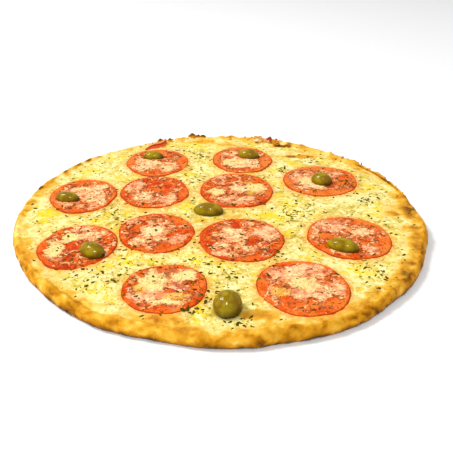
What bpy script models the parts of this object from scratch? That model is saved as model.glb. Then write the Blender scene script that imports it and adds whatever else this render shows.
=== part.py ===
"""A whole baked cheese pizza, 34 cm across, with tomato slices, green olives and dried herbs.

The dough is one disc with a low uneven rim. The melted cheese is a layer that fills it up to the rim.
Twelve tomato slices and eight whole olives are sunk in the cheese, which has a hollow for each.
At the back lie a curled strip of tomato skin, three baked bits and some burnt crags of cheese.
Herb flakes are fused to the cheese and to the slices. Units are metres, and +Z is up.
The underside of the dough is at Z = 0, and the origin is the middle of its outline.
"""

import math
import random

import bmesh
import bpy
from mathutils import Matrix, Vector, noise
from mathutils.bvhtree import BVHTree

MM = 0.001

# The dough: a mean radius, and waves (order, cosine, sine) that make its outline uneven.
DOUGH_RADIUS = 170.0 * MM
OUTLINE_WAVES = [
    (2, 2.02 * MM, 0.35 * MM),
    (3, -0.67 * MM, 0.05 * MM),
    (4, -0.46 * MM, 0.29 * MM),
]
KNEADED_WAVES = range(6, 14)
KNEADED_DEPTH = 0.34 * MM
SEGMENTS = 64
PAN_TOP = 5.0 * MM
RIM_TOP = 11.2 * MM
RIM_UNEVENNESS = 0.8 * MM
BACK_RIM_RISE = 1.0 * MM
# Rings of the dough from the underside, over the rim, down to the pan: inset from the outline, height.
DOUGH_PROFILE = [
    (9.0 * MM, 0.0),
    (3.2 * MM, 0.5 * MM),
    (0.6 * MM, 2.4 * MM),
    (0.0, 5.0 * MM),
    (0.8 * MM, 7.9 * MM),
    (2.6 * MM, 10.2 * MM),
    (5.0 * MM, RIM_TOP),
    (10.0 * MM, 7.2 * MM),
    (13.5 * MM, 5.4 * MM),
    (17.0 * MM, PAN_TOP),
]
CREST_RING = 6
PAN_RING = 9
RIM_RISE_SHARES = {4: 0.4, 5: 0.8, CREST_RING: 1.0}

# Pieces that touch keep this gap. On the sloping rim it is measured upwards, so it is wider.
GAP = 0.3 * MM
SLOPE_GAP = 0.5 * MM

# The melted cheese.
CHEESE_TOP = 10.6 * MM
CHEESE_WAVE = 0.45 * MM
CHEESE_WAVE_LENGTH = 28.0 * MM
CHEESE_INSET = 7.6 * MM
CHEESE_INSET_WAVE = 1.8 * MM
CHEESE_INSET_RANGE = (5.4 * MM, 9.6 * MM)
# Where it burnt at the back it reaches nearly to the crest: inset, and angle and half-width in degrees.
BURNT_INSET = 5.6 * MM
BURNT_ANGLE = 105
BURNT_SPREAD = 16
# Rings of its upper side near its edge: inset from that edge, thickness over the dough there.
CHEESE_EDGE = [(0.0, 0.9 * MM), (1.2 * MM, 1.9 * MM)]
CHEESE_RINGS = [0.92, 0.80, 0.64, 0.42, 0.16]
# A golden blister at the back right: place and half-lengths, height.
BLISTER = (80.0 * MM, 127.0 * MM, 17.0 * MM, 9.0 * MM)
BLISTER_HEIGHT = 1.6 * MM

# Tomato slices: middle x, y, mean radius, how far they are oval, and the angle of the long axis.
SLICE_TOP = 11.7 * MM
SLICE_THICKNESS = 3.6 * MM
SLICE_SEGMENTS = 24
SLICE_WAVES = range(3, 8)
SLICE_WAVE_DEPTH = 0.22 * MM
# Rings of a slice from its underside to its middle: reach beyond its outline, height.
SLICE_PROFILE = [
    (-0.5 * MM, SLICE_TOP - SLICE_THICKNESS),
    (0.0, SLICE_TOP - SLICE_THICKNESS + 1.0 * MM),
    (-0.1 * MM, SLICE_TOP - 0.9 * MM),
    (-1.3 * MM, SLICE_TOP),
    (-13.0 * MM, SLICE_TOP - 0.5 * MM),
]
TOMATO_SLICES = [
    (-63.6, 99.9, 32.0, 0.8, 90),
    (21.6, 108.5, 31.2, 1.2, 90),
    (94.6, 61.0, 34.2, 1.4, 15),
    (-123.4, 25.6, 31.4, 1.8, 90),
    (-60.0, 34.7, 31.8, 0.6, 100),
    (14.6, 39.6, 34.5, 1.0, 85),
    (-111.0, -60.4, 31.7, 1.6, 70),
    (-51.6, -38.4, 31.3, 0.6, 120),
    (16.9, -47.9, 34.0, 0.4, 0),
    (103.5, -43.2, 33.6, 0.6, 150),
    (-38.6, -114.8, 30.2, 0.8, 30),
    (58.8, -112.2, 33.6, 0.6, 120),
]

# Olives: middle x, y, length, thickness, and the angle of the stone's axis.
OLIVE_SEGMENTS = 12
OLIVE_RINGS = 7
OLIVE_FOOT = PAN_TOP + GAP + 0.05 * MM
OLIVE_POINT = 0.10
OLIVES = [
    (-68.9, 112.9, 20.5, 12.7, -4),
    (28.5, 117.4, 22.2, 13.8, -12),
    (95.3, 58.1, 20.3, 15.6, -30),
    (-136.2, 19.2, 22.0, 12.8, -10),
    (-10.0, -2.8, 26.0, 14.3, -8),
    (-97.5, -70.6, 22.3, 15.4, -32),
    (96.0, -58.8, 25.9, 13.7, -24),
    (5.2, -138.7, 21.6, 20.2, 72),
]

# The strip of tomato skin: points along its foot (x, y), its height, its thickness and its lean.
STRIP_PATH = [(-79.0, 131.5), (-75.0, 135.4), (-69.5, 137.6), (-64.0, 140.2), (-59.6, 144.4), (-57.8, 149.6)]
STRIP_HEIGHT = 5.2 * MM
STRIP_THICKNESS = 2.4 * MM
STRIP_FOOT = 9.6 * MM
STRIP_LEAN = 0.35
STRIP_TAPER = 0.45
STRIP_SIDES = 8

# Baked bits on the back rim: x, y, length, width, height and turn.
BAKED_BITS = [
    (39.6, 156.2, 9.0, 7.6, 8.2, 20),
    (51.4, 155.0, 7.6, 6.6, 6.6, -35),
    (59.4, 152.2, 8.2, 5.6, 5.0, -20),
]
BIT_FOOT = 10.2 * MM

# Burnt crags of cheese on the back rim: angle, width and height.
CRAGS = [
    (101.0, 5.0, 5.6),
    (98.6, 6.4, 6.6),
    (96.2, 4.6, 5.0),
    (113.4, 4.6, 5.0),
    (109.4, 4.2, 4.6),
]
CRAG_INSET = 7.8 * MM
CRAG_DEPTH = 0.8 * MM

# Herb flakes: how many lie on the cheese and on each slice, their shortest and longest, and their room.
CHEESE_FLAKES = 57
SLICE_FLAKES = 2
FLAKE_LENGTH = (2.0 * MM, 3.2 * MM)
FLAKE_CLEARANCE = 2.6 * MM
FLAKE_SPACING = 9.0 * MM


def wave(angle, waves):
    """The sum of waves around the pizza, each given as an order, a cosine part and a sine part."""
    return sum(a * math.cos(n * angle) + b * math.sin(n * angle) for n, a, b in waves)


def random_waves(seed, orders, depth):
    """Waves of the given orders with seeded directions, so that an edge looks hand-made."""
    draw = random.Random(seed)
    turns = [draw.uniform(0, 2 * math.pi) for _ in orders]
    return [(n, depth * math.cos(t), depth * math.sin(t)) for n, t in zip(orders, turns)]


KNEADING = random_waves(3, KNEADED_WAVES, KNEADED_DEPTH)
RIM_HEIGHTS = random_waves(8, range(3, 15), RIM_UNEVENNESS / 3)
CHEESE_LOBES = random_waves(21, range(5, 21, 2), CHEESE_INSET_WAVE / 4)


def dough_radius(angle):
    return DOUGH_RADIUS + wave(angle, OUTLINE_WAVES) + wave(angle, KNEADING)


def ring_angles(count):
    return [2 * math.pi * k / count for k in range(count)]


def outline_middle():
    """The middle of the outline's box, which is moved onto the origin."""
    points = [(dough_radius(a) * math.cos(a), dough_radius(a) * math.sin(a)) for a in ring_angles(SEGMENTS)]
    xs, ys = zip(*points)
    return (min(xs) + max(xs)) / 2, (min(ys) + max(ys)) / 2


MIDDLE = outline_middle()


def rim_rise(angle):
    """How much higher than RIM_TOP the rim stands at this angle: it is highest at the back."""
    at_back = (0.5 + 0.5 * math.sin(angle)) ** 3
    return BACK_RIM_RISE * at_back + wave(angle, RIM_HEIGHTS)


def dough_height(angle, inset):
    """Height of the dough's upper side, read along DOUGH_PROFILE from its crest inwards."""
    crest_inset, crest_height = DOUGH_PROFILE[CREST_RING]
    stations = [(crest_inset, crest_height + rim_rise(angle))] + DOUGH_PROFILE[CREST_RING + 1:]
    for (near, high), (far, low) in zip(stations, stations[1:]):
        if inset <= far:
            return high + (low - high) * (inset - near) / (far - near)
    return PAN_TOP


def at_inset(angle, inset, height):
    """A point at this inset from the dough's outline."""
    radius = dough_radius(angle) - inset
    return Vector((radius * math.cos(angle) - MIDDLE[0], radius * math.sin(angle) - MIDDLE[1], height))


def material(name, colour, roughness):
    made = bpy.data.materials.new(name)
    made.use_nodes = True
    shader = made.node_tree.nodes["Principled BSDF"]
    shader.inputs["Base Color"].default_value = (*colour, 1)
    shader.inputs["Roughness"].default_value = roughness
    made.diffuse_color = (*colour, 1)
    return made


def to_object(name, bm, finish, collection=None):
    """Turn a bmesh into an object with outward faces, in the scene or in another collection."""
    bmesh.ops.recalc_face_normals(bm, faces=bm.faces)
    mesh = bpy.data.meshes.new(name)
    bm.to_mesh(mesh)
    bm.free()
    mesh.materials.append(finish)
    made = bpy.data.objects.new(name, mesh)
    (collection or bpy.context.scene.collection).objects.link(made)
    return made


def loft(rings):
    """A closed skin over rings of points, which all have as many points, with a flat cap at both ends."""
    bm = bmesh.new()
    below = None
    for number, ring in enumerate(rings):
        last = number in (0, len(rings) - 1)
        verts = bmesh.ops.create_circle(bm, cap_ends=last, segments=len(ring), radius=1)["verts"]
        for vert, place in zip(verts, ring):
            vert.co = place
        edges = [e for e in {e for v in verts for e in v.link_edges} if all(v in verts for v in e.verts)]
        if below:
            bmesh.ops.bridge_loops(bm, edges=below + edges)
        below = edges
    return bm


def apply_modifiers(target):
    graph = bpy.context.evaluated_depsgraph_get()
    mesh = bpy.data.meshes.new_from_object(target.evaluated_get(graph))
    target.modifiers.clear()
    target.data = mesh


def combine(target, others, operation):
    """Cut the other objects from the target, or fuse them to it, and remove them."""
    group = bpy.data.collections.new("tools")
    bpy.context.scene.collection.children.link(group)
    for other in others:
        for holder in other.users_collection:
            holder.objects.unlink(other)
        group.objects.link(other)
    boolean = target.modifiers.new("Combine", "BOOLEAN")
    boolean.operation = operation
    boolean.operand_type = "COLLECTION"
    boolean.collection = group
    boolean.solver = "EXACT"
    apply_modifiers(target)
    for other in others:
        bpy.data.objects.remove(other)
    bpy.data.collections.remove(group)


def grown(source, amount):
    """A copy of an object, larger all round by about the amount, to cut the hollow that it lies in."""
    copy = source.copy()
    copy.data = source.data.copy()
    bpy.context.scene.collection.objects.link(copy)
    bm = bmesh.new()
    bm.from_mesh(copy.data)
    bm.normal_update()
    for vert, step in [(v, v.normal * v.calc_shell_factor() * amount) for v in bm.verts]:
        vert.co += step
    bm.to_mesh(copy.data)
    bm.free()
    return copy


def build_dough():
    """The dough: its rim rises and falls at the crest, and less so on the rings outside it."""
    rings = []
    for number, (inset, height) in enumerate(DOUGH_PROFILE):
        share = RIM_RISE_SHARES.get(number, 0.0)
        rings.append([at_inset(a, inset, height + share * rim_rise(a)) for a in ring_angles(SEGMENTS)])
    return to_object("crust", loft(rings), material("Baked dough", (0.80, 0.50, 0.18), 0.75))


def cheese_inset(angle):
    """Inset of the cheese's edge: uneven lobes, and far out where it burnt on the back rim."""
    inset = CHEESE_INSET + wave(angle, CHEESE_LOBES)
    burnt = max(0.0, 1 - abs(math.degrees(angle) - BURNT_ANGLE) / BURNT_SPREAD)
    inset += (BURNT_INSET - inset) * min(1.0, burnt * 2)
    least, most = CHEESE_INSET_RANGE
    return min(max(inset, least), most)


def cheese_height(x, y):
    """Upper side of the cheese away from its edge: low waves and the blister."""
    wavy = noise.noise(Vector((x, y, 0)) / CHEESE_WAVE_LENGTH) * CHEESE_WAVE * 2
    bx, by, long, short = BLISTER
    away = math.hypot((x - bx) / long, (y - by) / short)
    return CHEESE_TOP + wavy + BLISTER_HEIGHT * max(0.0, 1 - away**2)


def build_cheese():
    """The layer of cheese, from its flat underside outwards to its edge and back over its upper side."""
    angles = ring_angles(SEGMENTS)
    pan_inset = DOUGH_PROFILE[PAN_RING][0]
    rings = [[at_inset(a, pan_inset, PAN_TOP + GAP) for a in angles]]
    for inset, _ in reversed(DOUGH_PROFILE[CREST_RING + 1:PAN_RING]):
        rings.append([at_inset(a, inset, dough_height(a, inset) + SLOPE_GAP) for a in angles])
    rings.append([at_inset(a, cheese_inset(a), dough_height(a, cheese_inset(a)) + SLOPE_GAP) for a in angles])
    for inset, thickness in CHEESE_EDGE:
        places = [(a, cheese_inset(a) + inset) for a in angles]
        rings.append([at_inset(a, i, dough_height(a, i) + SLOPE_GAP + thickness) for a, i in places])
    for share in CHEESE_RINGS:
        ring = [at_inset(a, dough_radius(a) * (1 - share), 0) for a in angles]
        last = share == CHEESE_RINGS[-1]
        rings.append([Vector((p.x, p.y, CHEESE_TOP if last else cheese_height(p.x, p.y))) for p in ring])
    return to_object("melted_cheese", loft(rings), material("Melted cheese", (0.93, 0.80, 0.42), 0.45))


def cheese_edge_height(angle, inset):
    """Upper side of the cheese close to its edge, at this inset from the dough's outline."""
    thickness = CHEESE_EDGE[-1][1]
    return dough_height(angle, inset) + SLOPE_GAP + thickness


def slice_radius(angle, radius, oval, axis, seed):
    """Distance from a slice's middle to its edge at this angle."""
    uneven = random_waves(seed, SLICE_WAVES, SLICE_WAVE_DEPTH)
    return radius + oval * math.cos(2 * (angle - axis)) + wave(angle, uneven)


def build_slice(number, numbers, finish):
    """One tomato slice: a disc with a rounded edge and a slightly sunken middle."""
    x, y, radius, oval = [value * MM for value in numbers[:4]]
    axis = math.radians(numbers[4])
    angles = ring_angles(SLICE_SEGMENTS)
    rings = []
    for beyond, height in SLICE_PROFILE:
        reach = [slice_radius(a, radius, oval, axis, number) + beyond for a in angles]
        rings.append([Vector((x + r * math.cos(a), y + r * math.sin(a), height)) for a, r in zip(angles, reach)])
    return to_object(f"tomato_slice_{number:02d}", loft(rings), finish)


def build_olive(number, numbers, finish):
    """One whole olive, a little pointed at its ends, lying on the dough."""
    x, y, length, thickness = [value * MM for value in numbers[:4]]
    bm = bmesh.new()
    bmesh.ops.create_uvsphere(bm, u_segments=OLIVE_SEGMENTS, v_segments=OLIVE_RINGS, radius=1)
    for vert in bm.verts:
        slim = 1 - OLIVE_POINT * abs(vert.co.z) ** 3
        vert.co.x *= slim
        vert.co.y *= slim
    bmesh.ops.scale(bm, vec=(thickness / 2, thickness / 2, length / 2), verts=bm.verts)
    turn = Matrix.Rotation(math.radians(numbers[4]), 4, "Z") @ Matrix.Rotation(math.pi / 2, 4, "Y")
    middle = Vector((x, y, OLIVE_FOOT + thickness / 2))
    bmesh.ops.transform(bm, matrix=Matrix.Translation(middle) @ turn, verts=bm.verts)
    return to_object(f"olive_{number:02d}", bm, finish)


def build_strip():
    """The curled strip of tomato skin, which stands on its edge and leans back."""
    path = [Vector((x * MM, y * MM, STRIP_FOOT)) for x, y in STRIP_PATH]
    rings = []
    for k, foot in enumerate(path):
        ahead = path[min(k + 1, len(path) - 1)] - path[max(k - 1, 0)]
        side = Vector((-ahead.y, ahead.x, 0)).normalized()
        slim = 1 - STRIP_TAPER * abs(k / (len(path) - 1) - 0.5) * 2
        ring = []
        for a in ring_angles(STRIP_SIDES):
            across = side * math.cos(a) * STRIP_THICKNESS / 2 * slim
            up = (0.5 + 0.5 * math.sin(a)) * STRIP_HEIGHT * slim
            ring.append(foot + across + side * up * STRIP_LEAN + Vector((0, 0, up)))
        rings.append(ring)
    return to_object("tomato_strip", loft(rings), material("Tomato skin", (0.72, 0.16, 0.08), 0.4))


def lump(size, seed, turn=0.0):
    """A bmesh of an uneven lump, with its foot at Z = 0."""
    bm = bmesh.new()
    bmesh.ops.create_icosphere(bm, subdivisions=2, radius=1)
    shift = Vector((seed * 3.7, 0, 0))
    for vert in bm.verts:
        vert.co *= 1 + 0.35 * noise.noise(vert.co * 1.3 + shift)
    bmesh.ops.scale(bm, vec=[side / 2 for side in size], verts=bm.verts)
    bmesh.ops.rotate(bm, matrix=Matrix.Rotation(turn, 3, "Z"), verts=bm.verts)
    bmesh.ops.translate(bm, vec=(0, 0, -min(v.co.z for v in bm.verts)), verts=bm.verts)
    return bm


def build_bit(number, numbers, finish):
    x, y, *size = [value * MM for value in numbers[:5]]
    bm = lump(size, number, math.radians(numbers[5]))
    bmesh.ops.translate(bm, vec=(x, y, BIT_FOOT), verts=bm.verts)
    return to_object(f"baked_bit_{number}", bm, finish)


def build_crags(finish):
    """The burnt crags, sunk a little in the edge of the cheese that they are fused to."""
    made = []
    for number, (degrees, width, height) in enumerate(CRAGS):
        angle = math.radians(degrees)
        bm = lump((width * MM * 0.7, width * MM, height * MM), number + 10, angle)
        edge = at_inset(angle, CRAG_INSET, 0)
        foot = cheese_edge_height(angle, CRAG_INSET) - CRAG_DEPTH
        bmesh.ops.translate(bm, vec=(edge.x, edge.y, foot), verts=bm.verts)
        made.append(to_object(f"crag_{number}", bm, finish))
    return made


def flake(place, draw, finish):
    """One herb flake: a flat uneven splinter, sunk halfway at the place."""
    bm = bmesh.new()
    bmesh.ops.create_icosphere(bm, subdivisions=1, radius=1)
    for vert in bm.verts:
        vert.co *= draw.uniform(0.75, 1.2)
    half = draw.uniform(*FLAKE_LENGTH) / 2
    bmesh.ops.scale(bm, vec=(half, half * draw.uniform(0.35, 0.7), half * 0.45), verts=bm.verts)
    tilt = Matrix.Rotation(draw.uniform(-0.3, 0.3), 3, "Y")
    bmesh.ops.rotate(bm, matrix=Matrix.Rotation(draw.uniform(0, math.pi), 3, "Z") @ tilt, verts=bm.verts)
    bmesh.ops.translate(bm, vec=place, verts=bm.verts)
    return to_object("flake", bm, finish)


def surface_height(tree, x, y):
    """Height of the upper side there, or None beside it or over a hollow."""
    place, normal, _, _ = tree.ray_cast(Vector((x, y, 0.1)), Vector((0, 0, -1)))
    return place.z if place and normal.z > 0.9 else None


def clear_of_toppings(x, y):
    """Whether a flake here is clear of every slice, olive, strip and bit."""
    room = FLAKE_CLEARANCE
    round_things = [(s[0], s[1], s[2] + s[3]) for s in TOMATO_SLICES]
    round_things += [(o[0], o[1], o[2] / 2) for o in OLIVES]
    round_things += [(b[0], b[1], b[2] / 2) for b in BAKED_BITS]
    round_things += [(px, py, 4.0) for px, py in STRIP_PATH]
    return all(math.hypot(x - cx * MM, y - cy * MM) > r * MM + room for cx, cy, r in round_things)


def scatter_on_cheese(cheese, finish):
    """Flakes spread evenly over the bare cheese: each keeps its distance from those before it."""
    tree = BVHTree.FromObject(cheese, bpy.context.evaluated_depsgraph_get())
    draw = random.Random(11)
    spacing = FLAKE_SPACING
    places = []
    while len(places) < CHEESE_FLAKES:
        angle = draw.uniform(0, 2 * math.pi)
        spot = at_inset(angle, dough_radius(angle) * (1 - math.sqrt(draw.random()) * 0.9), 0)
        height = surface_height(tree, spot.x, spot.y)
        near = any((spot.xy - other.xy).length < spacing for other in places)
        spacing *= 0.999
        if height and not near and clear_of_toppings(spot.x, spot.y):
            places.append(Vector((spot.x, spot.y, height)))
    return [flake(place, draw, finish) for place in places]


def scatter_on_slice(number, tomato, finish):
    """A few flakes on one slice, clear of any olive on it."""
    tree = BVHTree.FromObject(tomato, bpy.context.evaluated_depsgraph_get())
    draw = random.Random(100 + number)
    x, y, radius, _, _ = TOMATO_SLICES[number - 1]
    places = []
    while len(places) < SLICE_FLAKES:
        angle = draw.uniform(0, 2 * math.pi)
        reach = radius * draw.uniform(0.15, 0.75)
        spot = Vector((x + reach * math.cos(angle), y + reach * math.sin(angle))) * MM
        free = all((spot - Vector(o[:2]) * MM).length > o[2] / 2 * MM + FLAKE_CLEARANCE for o in OLIVES)
        near = any((spot - other.xy).length < FLAKE_SPACING for other in places)
        height = surface_height(tree, *spot)
        if height and free and not near:
            places.append(Vector((*spot, height)))
    return [flake(place, draw, finish) for place in places]


def is_on_slice(olive, tomato):
    """Whether the olive's middle lies on the slice, from their rows in the tables."""
    return math.hypot(olive[0] - tomato[0], olive[1] - tomato[1]) < tomato[2]


def main():
    for old in list(bpy.data.objects):
        bpy.data.objects.remove(old)
    flesh = material("Tomato flesh", (0.80, 0.20, 0.08), 0.4)
    olive_green = material("Olive", (0.30, 0.27, 0.04), 0.3)
    toasted = material("Baked bits", (0.75, 0.48, 0.30), 0.6)

    crust = build_dough()
    cheese = build_cheese()
    slices = [build_slice(n, numbers, flesh) for n, numbers in enumerate(TOMATO_SLICES, 1)]
    olives = [build_olive(n, numbers, olive_green) for n, numbers in enumerate(OLIVES, 1)]
    on_rim = [build_strip()] + [build_bit(n, numbers, toasted) for n, numbers in enumerate(BAKED_BITS, 1)]

    combine(cheese, build_crags(toasted), "UNION")
    combine(cheese, [grown(piece, GAP) for piece in slices + olives + on_rim], "DIFFERENCE")
    combine(crust, [grown(piece, GAP) for piece in on_rim], "DIFFERENCE")
    for number, tomato in enumerate(slices, 1):
        near = [o for o, numbers in zip(olives, OLIVES) if is_on_slice(numbers, TOMATO_SLICES[number - 1])]
        if near:
            combine(tomato, [grown(piece, GAP) for piece in near], "DIFFERENCE")
        combine(tomato, scatter_on_slice(number, tomato, flesh), "UNION")
    combine(cheese, scatter_on_cheese(cheese, toasted), "UNION")
    for piece in [crust, cheese] + slices + olives + on_rim:
        piece.data.shade_smooth()
        piece.data.set_sharp_from_angle(angle=math.radians(40))


main()
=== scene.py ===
"""A baked cheese pizza with tomato slices, whole green olives and dried herbs, dressed over its solids.

Each operator models one kind of piece: the dough, the cheese, the tomato slices, the olives, what lies on
the back rim, the shreds of cheese on the slices, the herbs, and the stage that they stand on.
Units are metres and +Z is up. The front of the pizza is towards -Y, and its underside is at Z = 0.
"""

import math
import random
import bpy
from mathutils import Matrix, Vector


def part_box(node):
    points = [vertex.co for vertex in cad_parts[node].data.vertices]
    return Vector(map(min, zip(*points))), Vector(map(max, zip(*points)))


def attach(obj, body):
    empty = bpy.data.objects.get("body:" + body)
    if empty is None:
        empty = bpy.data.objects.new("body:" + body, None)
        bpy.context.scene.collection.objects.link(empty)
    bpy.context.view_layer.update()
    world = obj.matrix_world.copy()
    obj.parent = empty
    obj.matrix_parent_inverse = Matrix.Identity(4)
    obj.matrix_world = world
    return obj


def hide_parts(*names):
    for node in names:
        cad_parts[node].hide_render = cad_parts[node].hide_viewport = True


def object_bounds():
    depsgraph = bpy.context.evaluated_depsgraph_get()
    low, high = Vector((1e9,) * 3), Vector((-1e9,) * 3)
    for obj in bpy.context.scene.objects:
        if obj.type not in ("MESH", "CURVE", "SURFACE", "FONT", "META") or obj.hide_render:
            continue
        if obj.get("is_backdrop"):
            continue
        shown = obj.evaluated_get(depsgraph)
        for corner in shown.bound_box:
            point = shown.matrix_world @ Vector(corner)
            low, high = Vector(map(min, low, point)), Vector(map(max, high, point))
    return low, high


bl_info = {
    "name": "Cheese pizza",
    "version": (1, 0, 0),
    "blender": (4, 5, 0),
    "location": "3D View > Sidebar > Pizza",
    "description": "Models a baked cheese pizza with tomato slices, green olives and dried herbs",
    "category": "Object",
}

import bmesh
import bpy
from bpy.props import FloatProperty, FloatVectorProperty, IntProperty, PointerProperty
from mathutils import Matrix, Vector, noise
from mathutils.bvhtree import BVHTree

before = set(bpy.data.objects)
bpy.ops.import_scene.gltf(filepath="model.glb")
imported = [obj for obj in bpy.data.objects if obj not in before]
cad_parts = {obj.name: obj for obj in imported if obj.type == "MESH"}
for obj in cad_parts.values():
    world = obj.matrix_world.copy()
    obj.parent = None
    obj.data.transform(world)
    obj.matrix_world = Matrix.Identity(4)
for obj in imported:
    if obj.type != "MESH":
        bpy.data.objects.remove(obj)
SOLIDS_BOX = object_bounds()

MM = 0.001

# The dough's outline, as in the solids: a mean radius, and waves (order, cosine, sine) around it.
DOUGH_RADIUS = 170.0 * MM
OUTLINE_WAVES = [
    (2, 2.02 * MM, 0.35 * MM),
    (3, -0.67 * MM, 0.05 * MM),
    (4, -0.46 * MM, 0.29 * MM),
]
KNEADED_WAVES = range(6, 14)
KNEADED_DEPTH = 0.34 * MM
# Into how many segments the solids divide it.
OUTLINE_SEGMENTS = 64
PAN_TOP = 5.0 * MM
RIM_TOP = 11.2 * MM
RIM_UNEVENNESS = 0.8 * MM
BACK_RIM_RISE = 1.0 * MM
# Where the dressed rim bulges beyond the solid: angle and spread in degrees, how far.
BULGES = [
    (-8.0, 10.0, 3.4 * MM),
    (172.0, 10.0, 4.2 * MM),
    (-172.0, 9.0, 0.7 * MM),
    (140.0, 13.0, 1.8 * MM),
    (78.0, 9.0, 1.6 * MM),
]
# The dressed rim stands this much higher at the back than the solid.
BACK_LUMPS_RISE = 1.3 * MM
# From the underside, over the rim, down to the pan: inset from the outline, height.
DOUGH_PROFILE = [
    (9.0 * MM, 0.0),
    (3.2 * MM, 0.5 * MM),
    (0.6 * MM, 2.4 * MM),
    (0.0, 5.0 * MM),
    (0.8 * MM, 7.9 * MM),
    (2.6 * MM, 10.2 * MM),
    (5.0 * MM, RIM_TOP),
    (10.0 * MM, 7.2 * MM),
    (13.5 * MM, 5.4 * MM),
    (17.0 * MM, PAN_TOP),
]
# Which entry of that profile is the crest.
CREST_RING = 6
# How far the crest wanders in and out, and the insets and heights between which it does.
CREST_SHIFT = 1.4 * MM
CREST_INSETS = (10 * MM, 7 * MM)
# The wall turns into the crest between these heights. Bubbles and lumps fade out towards pan and foot.
WALL_TURN = (3 * MM, 8 * MM)
BUBBLED_INSETS = (13 * MM, 8 * MM)
LUMPY_INSETS = (12 * MM, 8 * MM)
LUMPY_HEIGHTS = (0.4 * MM, 3 * MM)
# Down the wall, which begins between these insets, the toasting is read farther out.
WALL_INSETS = (5 * MM, 3 * MM)
# Unevenness of the rim: size of the features, seed, and how high they are beside the lumps of the settings.
RIM_LUMPS = [(22 * MM, 1, 1.5), (9 * MM, 2, 1.3), (2.8 * MM, 3, 0.4)]
# Air bubbles under the skin of the rim: radius, inset, and height as a share of the radius.
BUBBLE_RADII = (2.6 * MM, 6.5 * MM)
BUBBLE_INSETS = (3.0 * MM, 15.0 * MM)
BUBBLE_SWELL = (0.12, 0.26)
# Where the rim's edge is ragged: how far it reaches out, what share of that it rises, its angle and spread,
# and between which insets it begins.
RAGGED_REACH = 4.0 * MM
RAGGED_RISE = 0.35
RAGGED_ANGLE = math.radians(31)
RAGGED_SPREAD = math.radians(9)
RAGGED_INSETS = (6 * MM, 2 * MM)

# The cheese's upper side and edge, as in the solids.
CHEESE_TOP = 10.6 * MM
CHEESE_WAVE = 0.45 * MM
CHEESE_WAVE_LENGTH = 28.0 * MM
CHEESE_INSET = 6.2 * MM
CHEESE_INSET_WAVE = 1.8 * MM
# A film of cheese runs this much farther up the rim than its solid, and stays between these insets.
CHEESE_FILM = 1.6 * MM
CHEESE_FILM_HEIGHT = 0.1 * MM
CHEESE_INSET_RANGE = (3.6 * MM, 5.8 * MM)
# It ends in a thin edge this wide that dips into the dough.
FILM_EDGE = 1.6 * MM
FILM_DIP = 0.35 * MM
# Over this width the cheese thins out to the film.
CHEESE_BLEND = 9.0 * MM
# How large the lumps, strings and grain of the cheese are, which way the strings run, and how high lumps and
# strings are beside the lumps of the settings.
LUMP_SIZE = 9 * MM
STRING_SIZE = 5.5 * MM
GRAIN_SIZE = 2.4 * MM
STRING_DIRECTION = 0.3
LUMP_SHARE = 1.1
STRING_SHARE = 0.38
# The underside of the cheese follows the dough: inset and gap, on the slope and at the foot of the rim.
CHEESE_UNDERSIDE = [(13.5 * MM, 0.5 * MM), (17 * MM, 0.3 * MM)]
# Bubbles of the rim lift the cheese as far in as this, and by this share of their height.
BUBBLED_CHEESE = 24 * MM
BUBBLE_SHARE = 0.7
# Where the cheese burnt at the back: its inset there, the middle angle and the spread in degrees.
BURNT_INSET = 5.6 * MM
BURNT_ANGLE = 105
BURNT_SPREAD = 16
# A golden blister at the back right: place and half-lengths, height.
BLISTER = (80.0 * MM, 127.0 * MM, 17.0 * MM, 9.0 * MM)
BLISTER_HEIGHT = 1.6 * MM
# How high the cheese climbs against the slices and the olives, and over what distance that fades.
SLICE_MENISCUS = (0.45 * MM, 1.3 * MM)
OLIVE_MENISCUS = (0.5 * MM, 1.4 * MM)
# It stays raised this far under an olive.
OLIVE_OVERLAP = 1 * MM
# It dives under a slice between these distances inside its outline, down to a little below it.
SLICE_DIVE = (-1.0 * MM, -3.2 * MM)
SLICE_CLEARANCE = 0.1 * MM
# How far tomato juice stains the cheese, and the reach and darkness of painted shade around each olive's
# foot.
JUICE_REACH = 3.0 * MM
OLIVE_CONTACT_SHADE_REACH = 1.0 * MM
OLIVE_CONTACT_SHADE = 0.75

SLICE_TOP = 11.7 * MM
SLICE_THICKNESS = 3.6 * MM
SLICE_FOOT = SLICE_TOP - SLICE_THICKNESS
# Where a slice is widest, and how much its foot is drawn in.
SLICE_WIDEST = SLICE_FOOT + 1.0 * MM
SLICE_UNDERCUT = 0.5 * MM
# The edge of its upper side is rounded over this width, down by this much.
SLICE_ROUNDING = 1.5 * MM
SLICE_SHOULDER = 1.0 * MM
# Relief of a slice: its middle is lower, a ring stands up, seed chambers are sunk, and olives press it down.
SLICE_SAG = 0.4 * MM
SLICE_SAG_INSETS = (3 * MM, 13 * MM)
SLICE_RING_RISE = 0.15 * MM
SLICE_RING_OUTSIDE = (0.5 * MM, 2.5 * MM)
SLICE_RING_INSIDE = (6 * MM, 3 * MM)
CHAMBER_DEPTH = 0.3 * MM
SLICE_GRAIN = 0.14 * MM
SLICE_GRAIN_SIZE = 1.8 * MM
SLICE_STRING_SIZE = 2.6 * MM
OLIVE_DENT = 0.5 * MM
OLIVE_DENT_REACH = 1.8 * MM
# Around an olive the slice is painted dark, as the olive's shadow on it: how dark, and how far out.
OLIVE_SHADOW = 0.75
OLIVE_SHADOW_REACH = 0.9 * MM
# The bare ring of flesh around the cheese on a slice, and how far its inner edge wanders.
RING_WIDTH = 3.3 * MM
RING_SOFTNESS = 1.5 * MM
RING_WANDER = 3.0 * MM
SLICE_COUNT = 12
OLIVE_COUNT = 8
# An olive is slimmer towards its ends, with a sunk stalk scar at one and a small point at the other.
OLIVE_POINT = 0.10
SCAR_DEPTH = 0.10
TIP_LENGTH = 0.03
# How dark the painted shade on its lower side and towards its right is.
OLIVE_PAINTED_SHADE = 0.95

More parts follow.
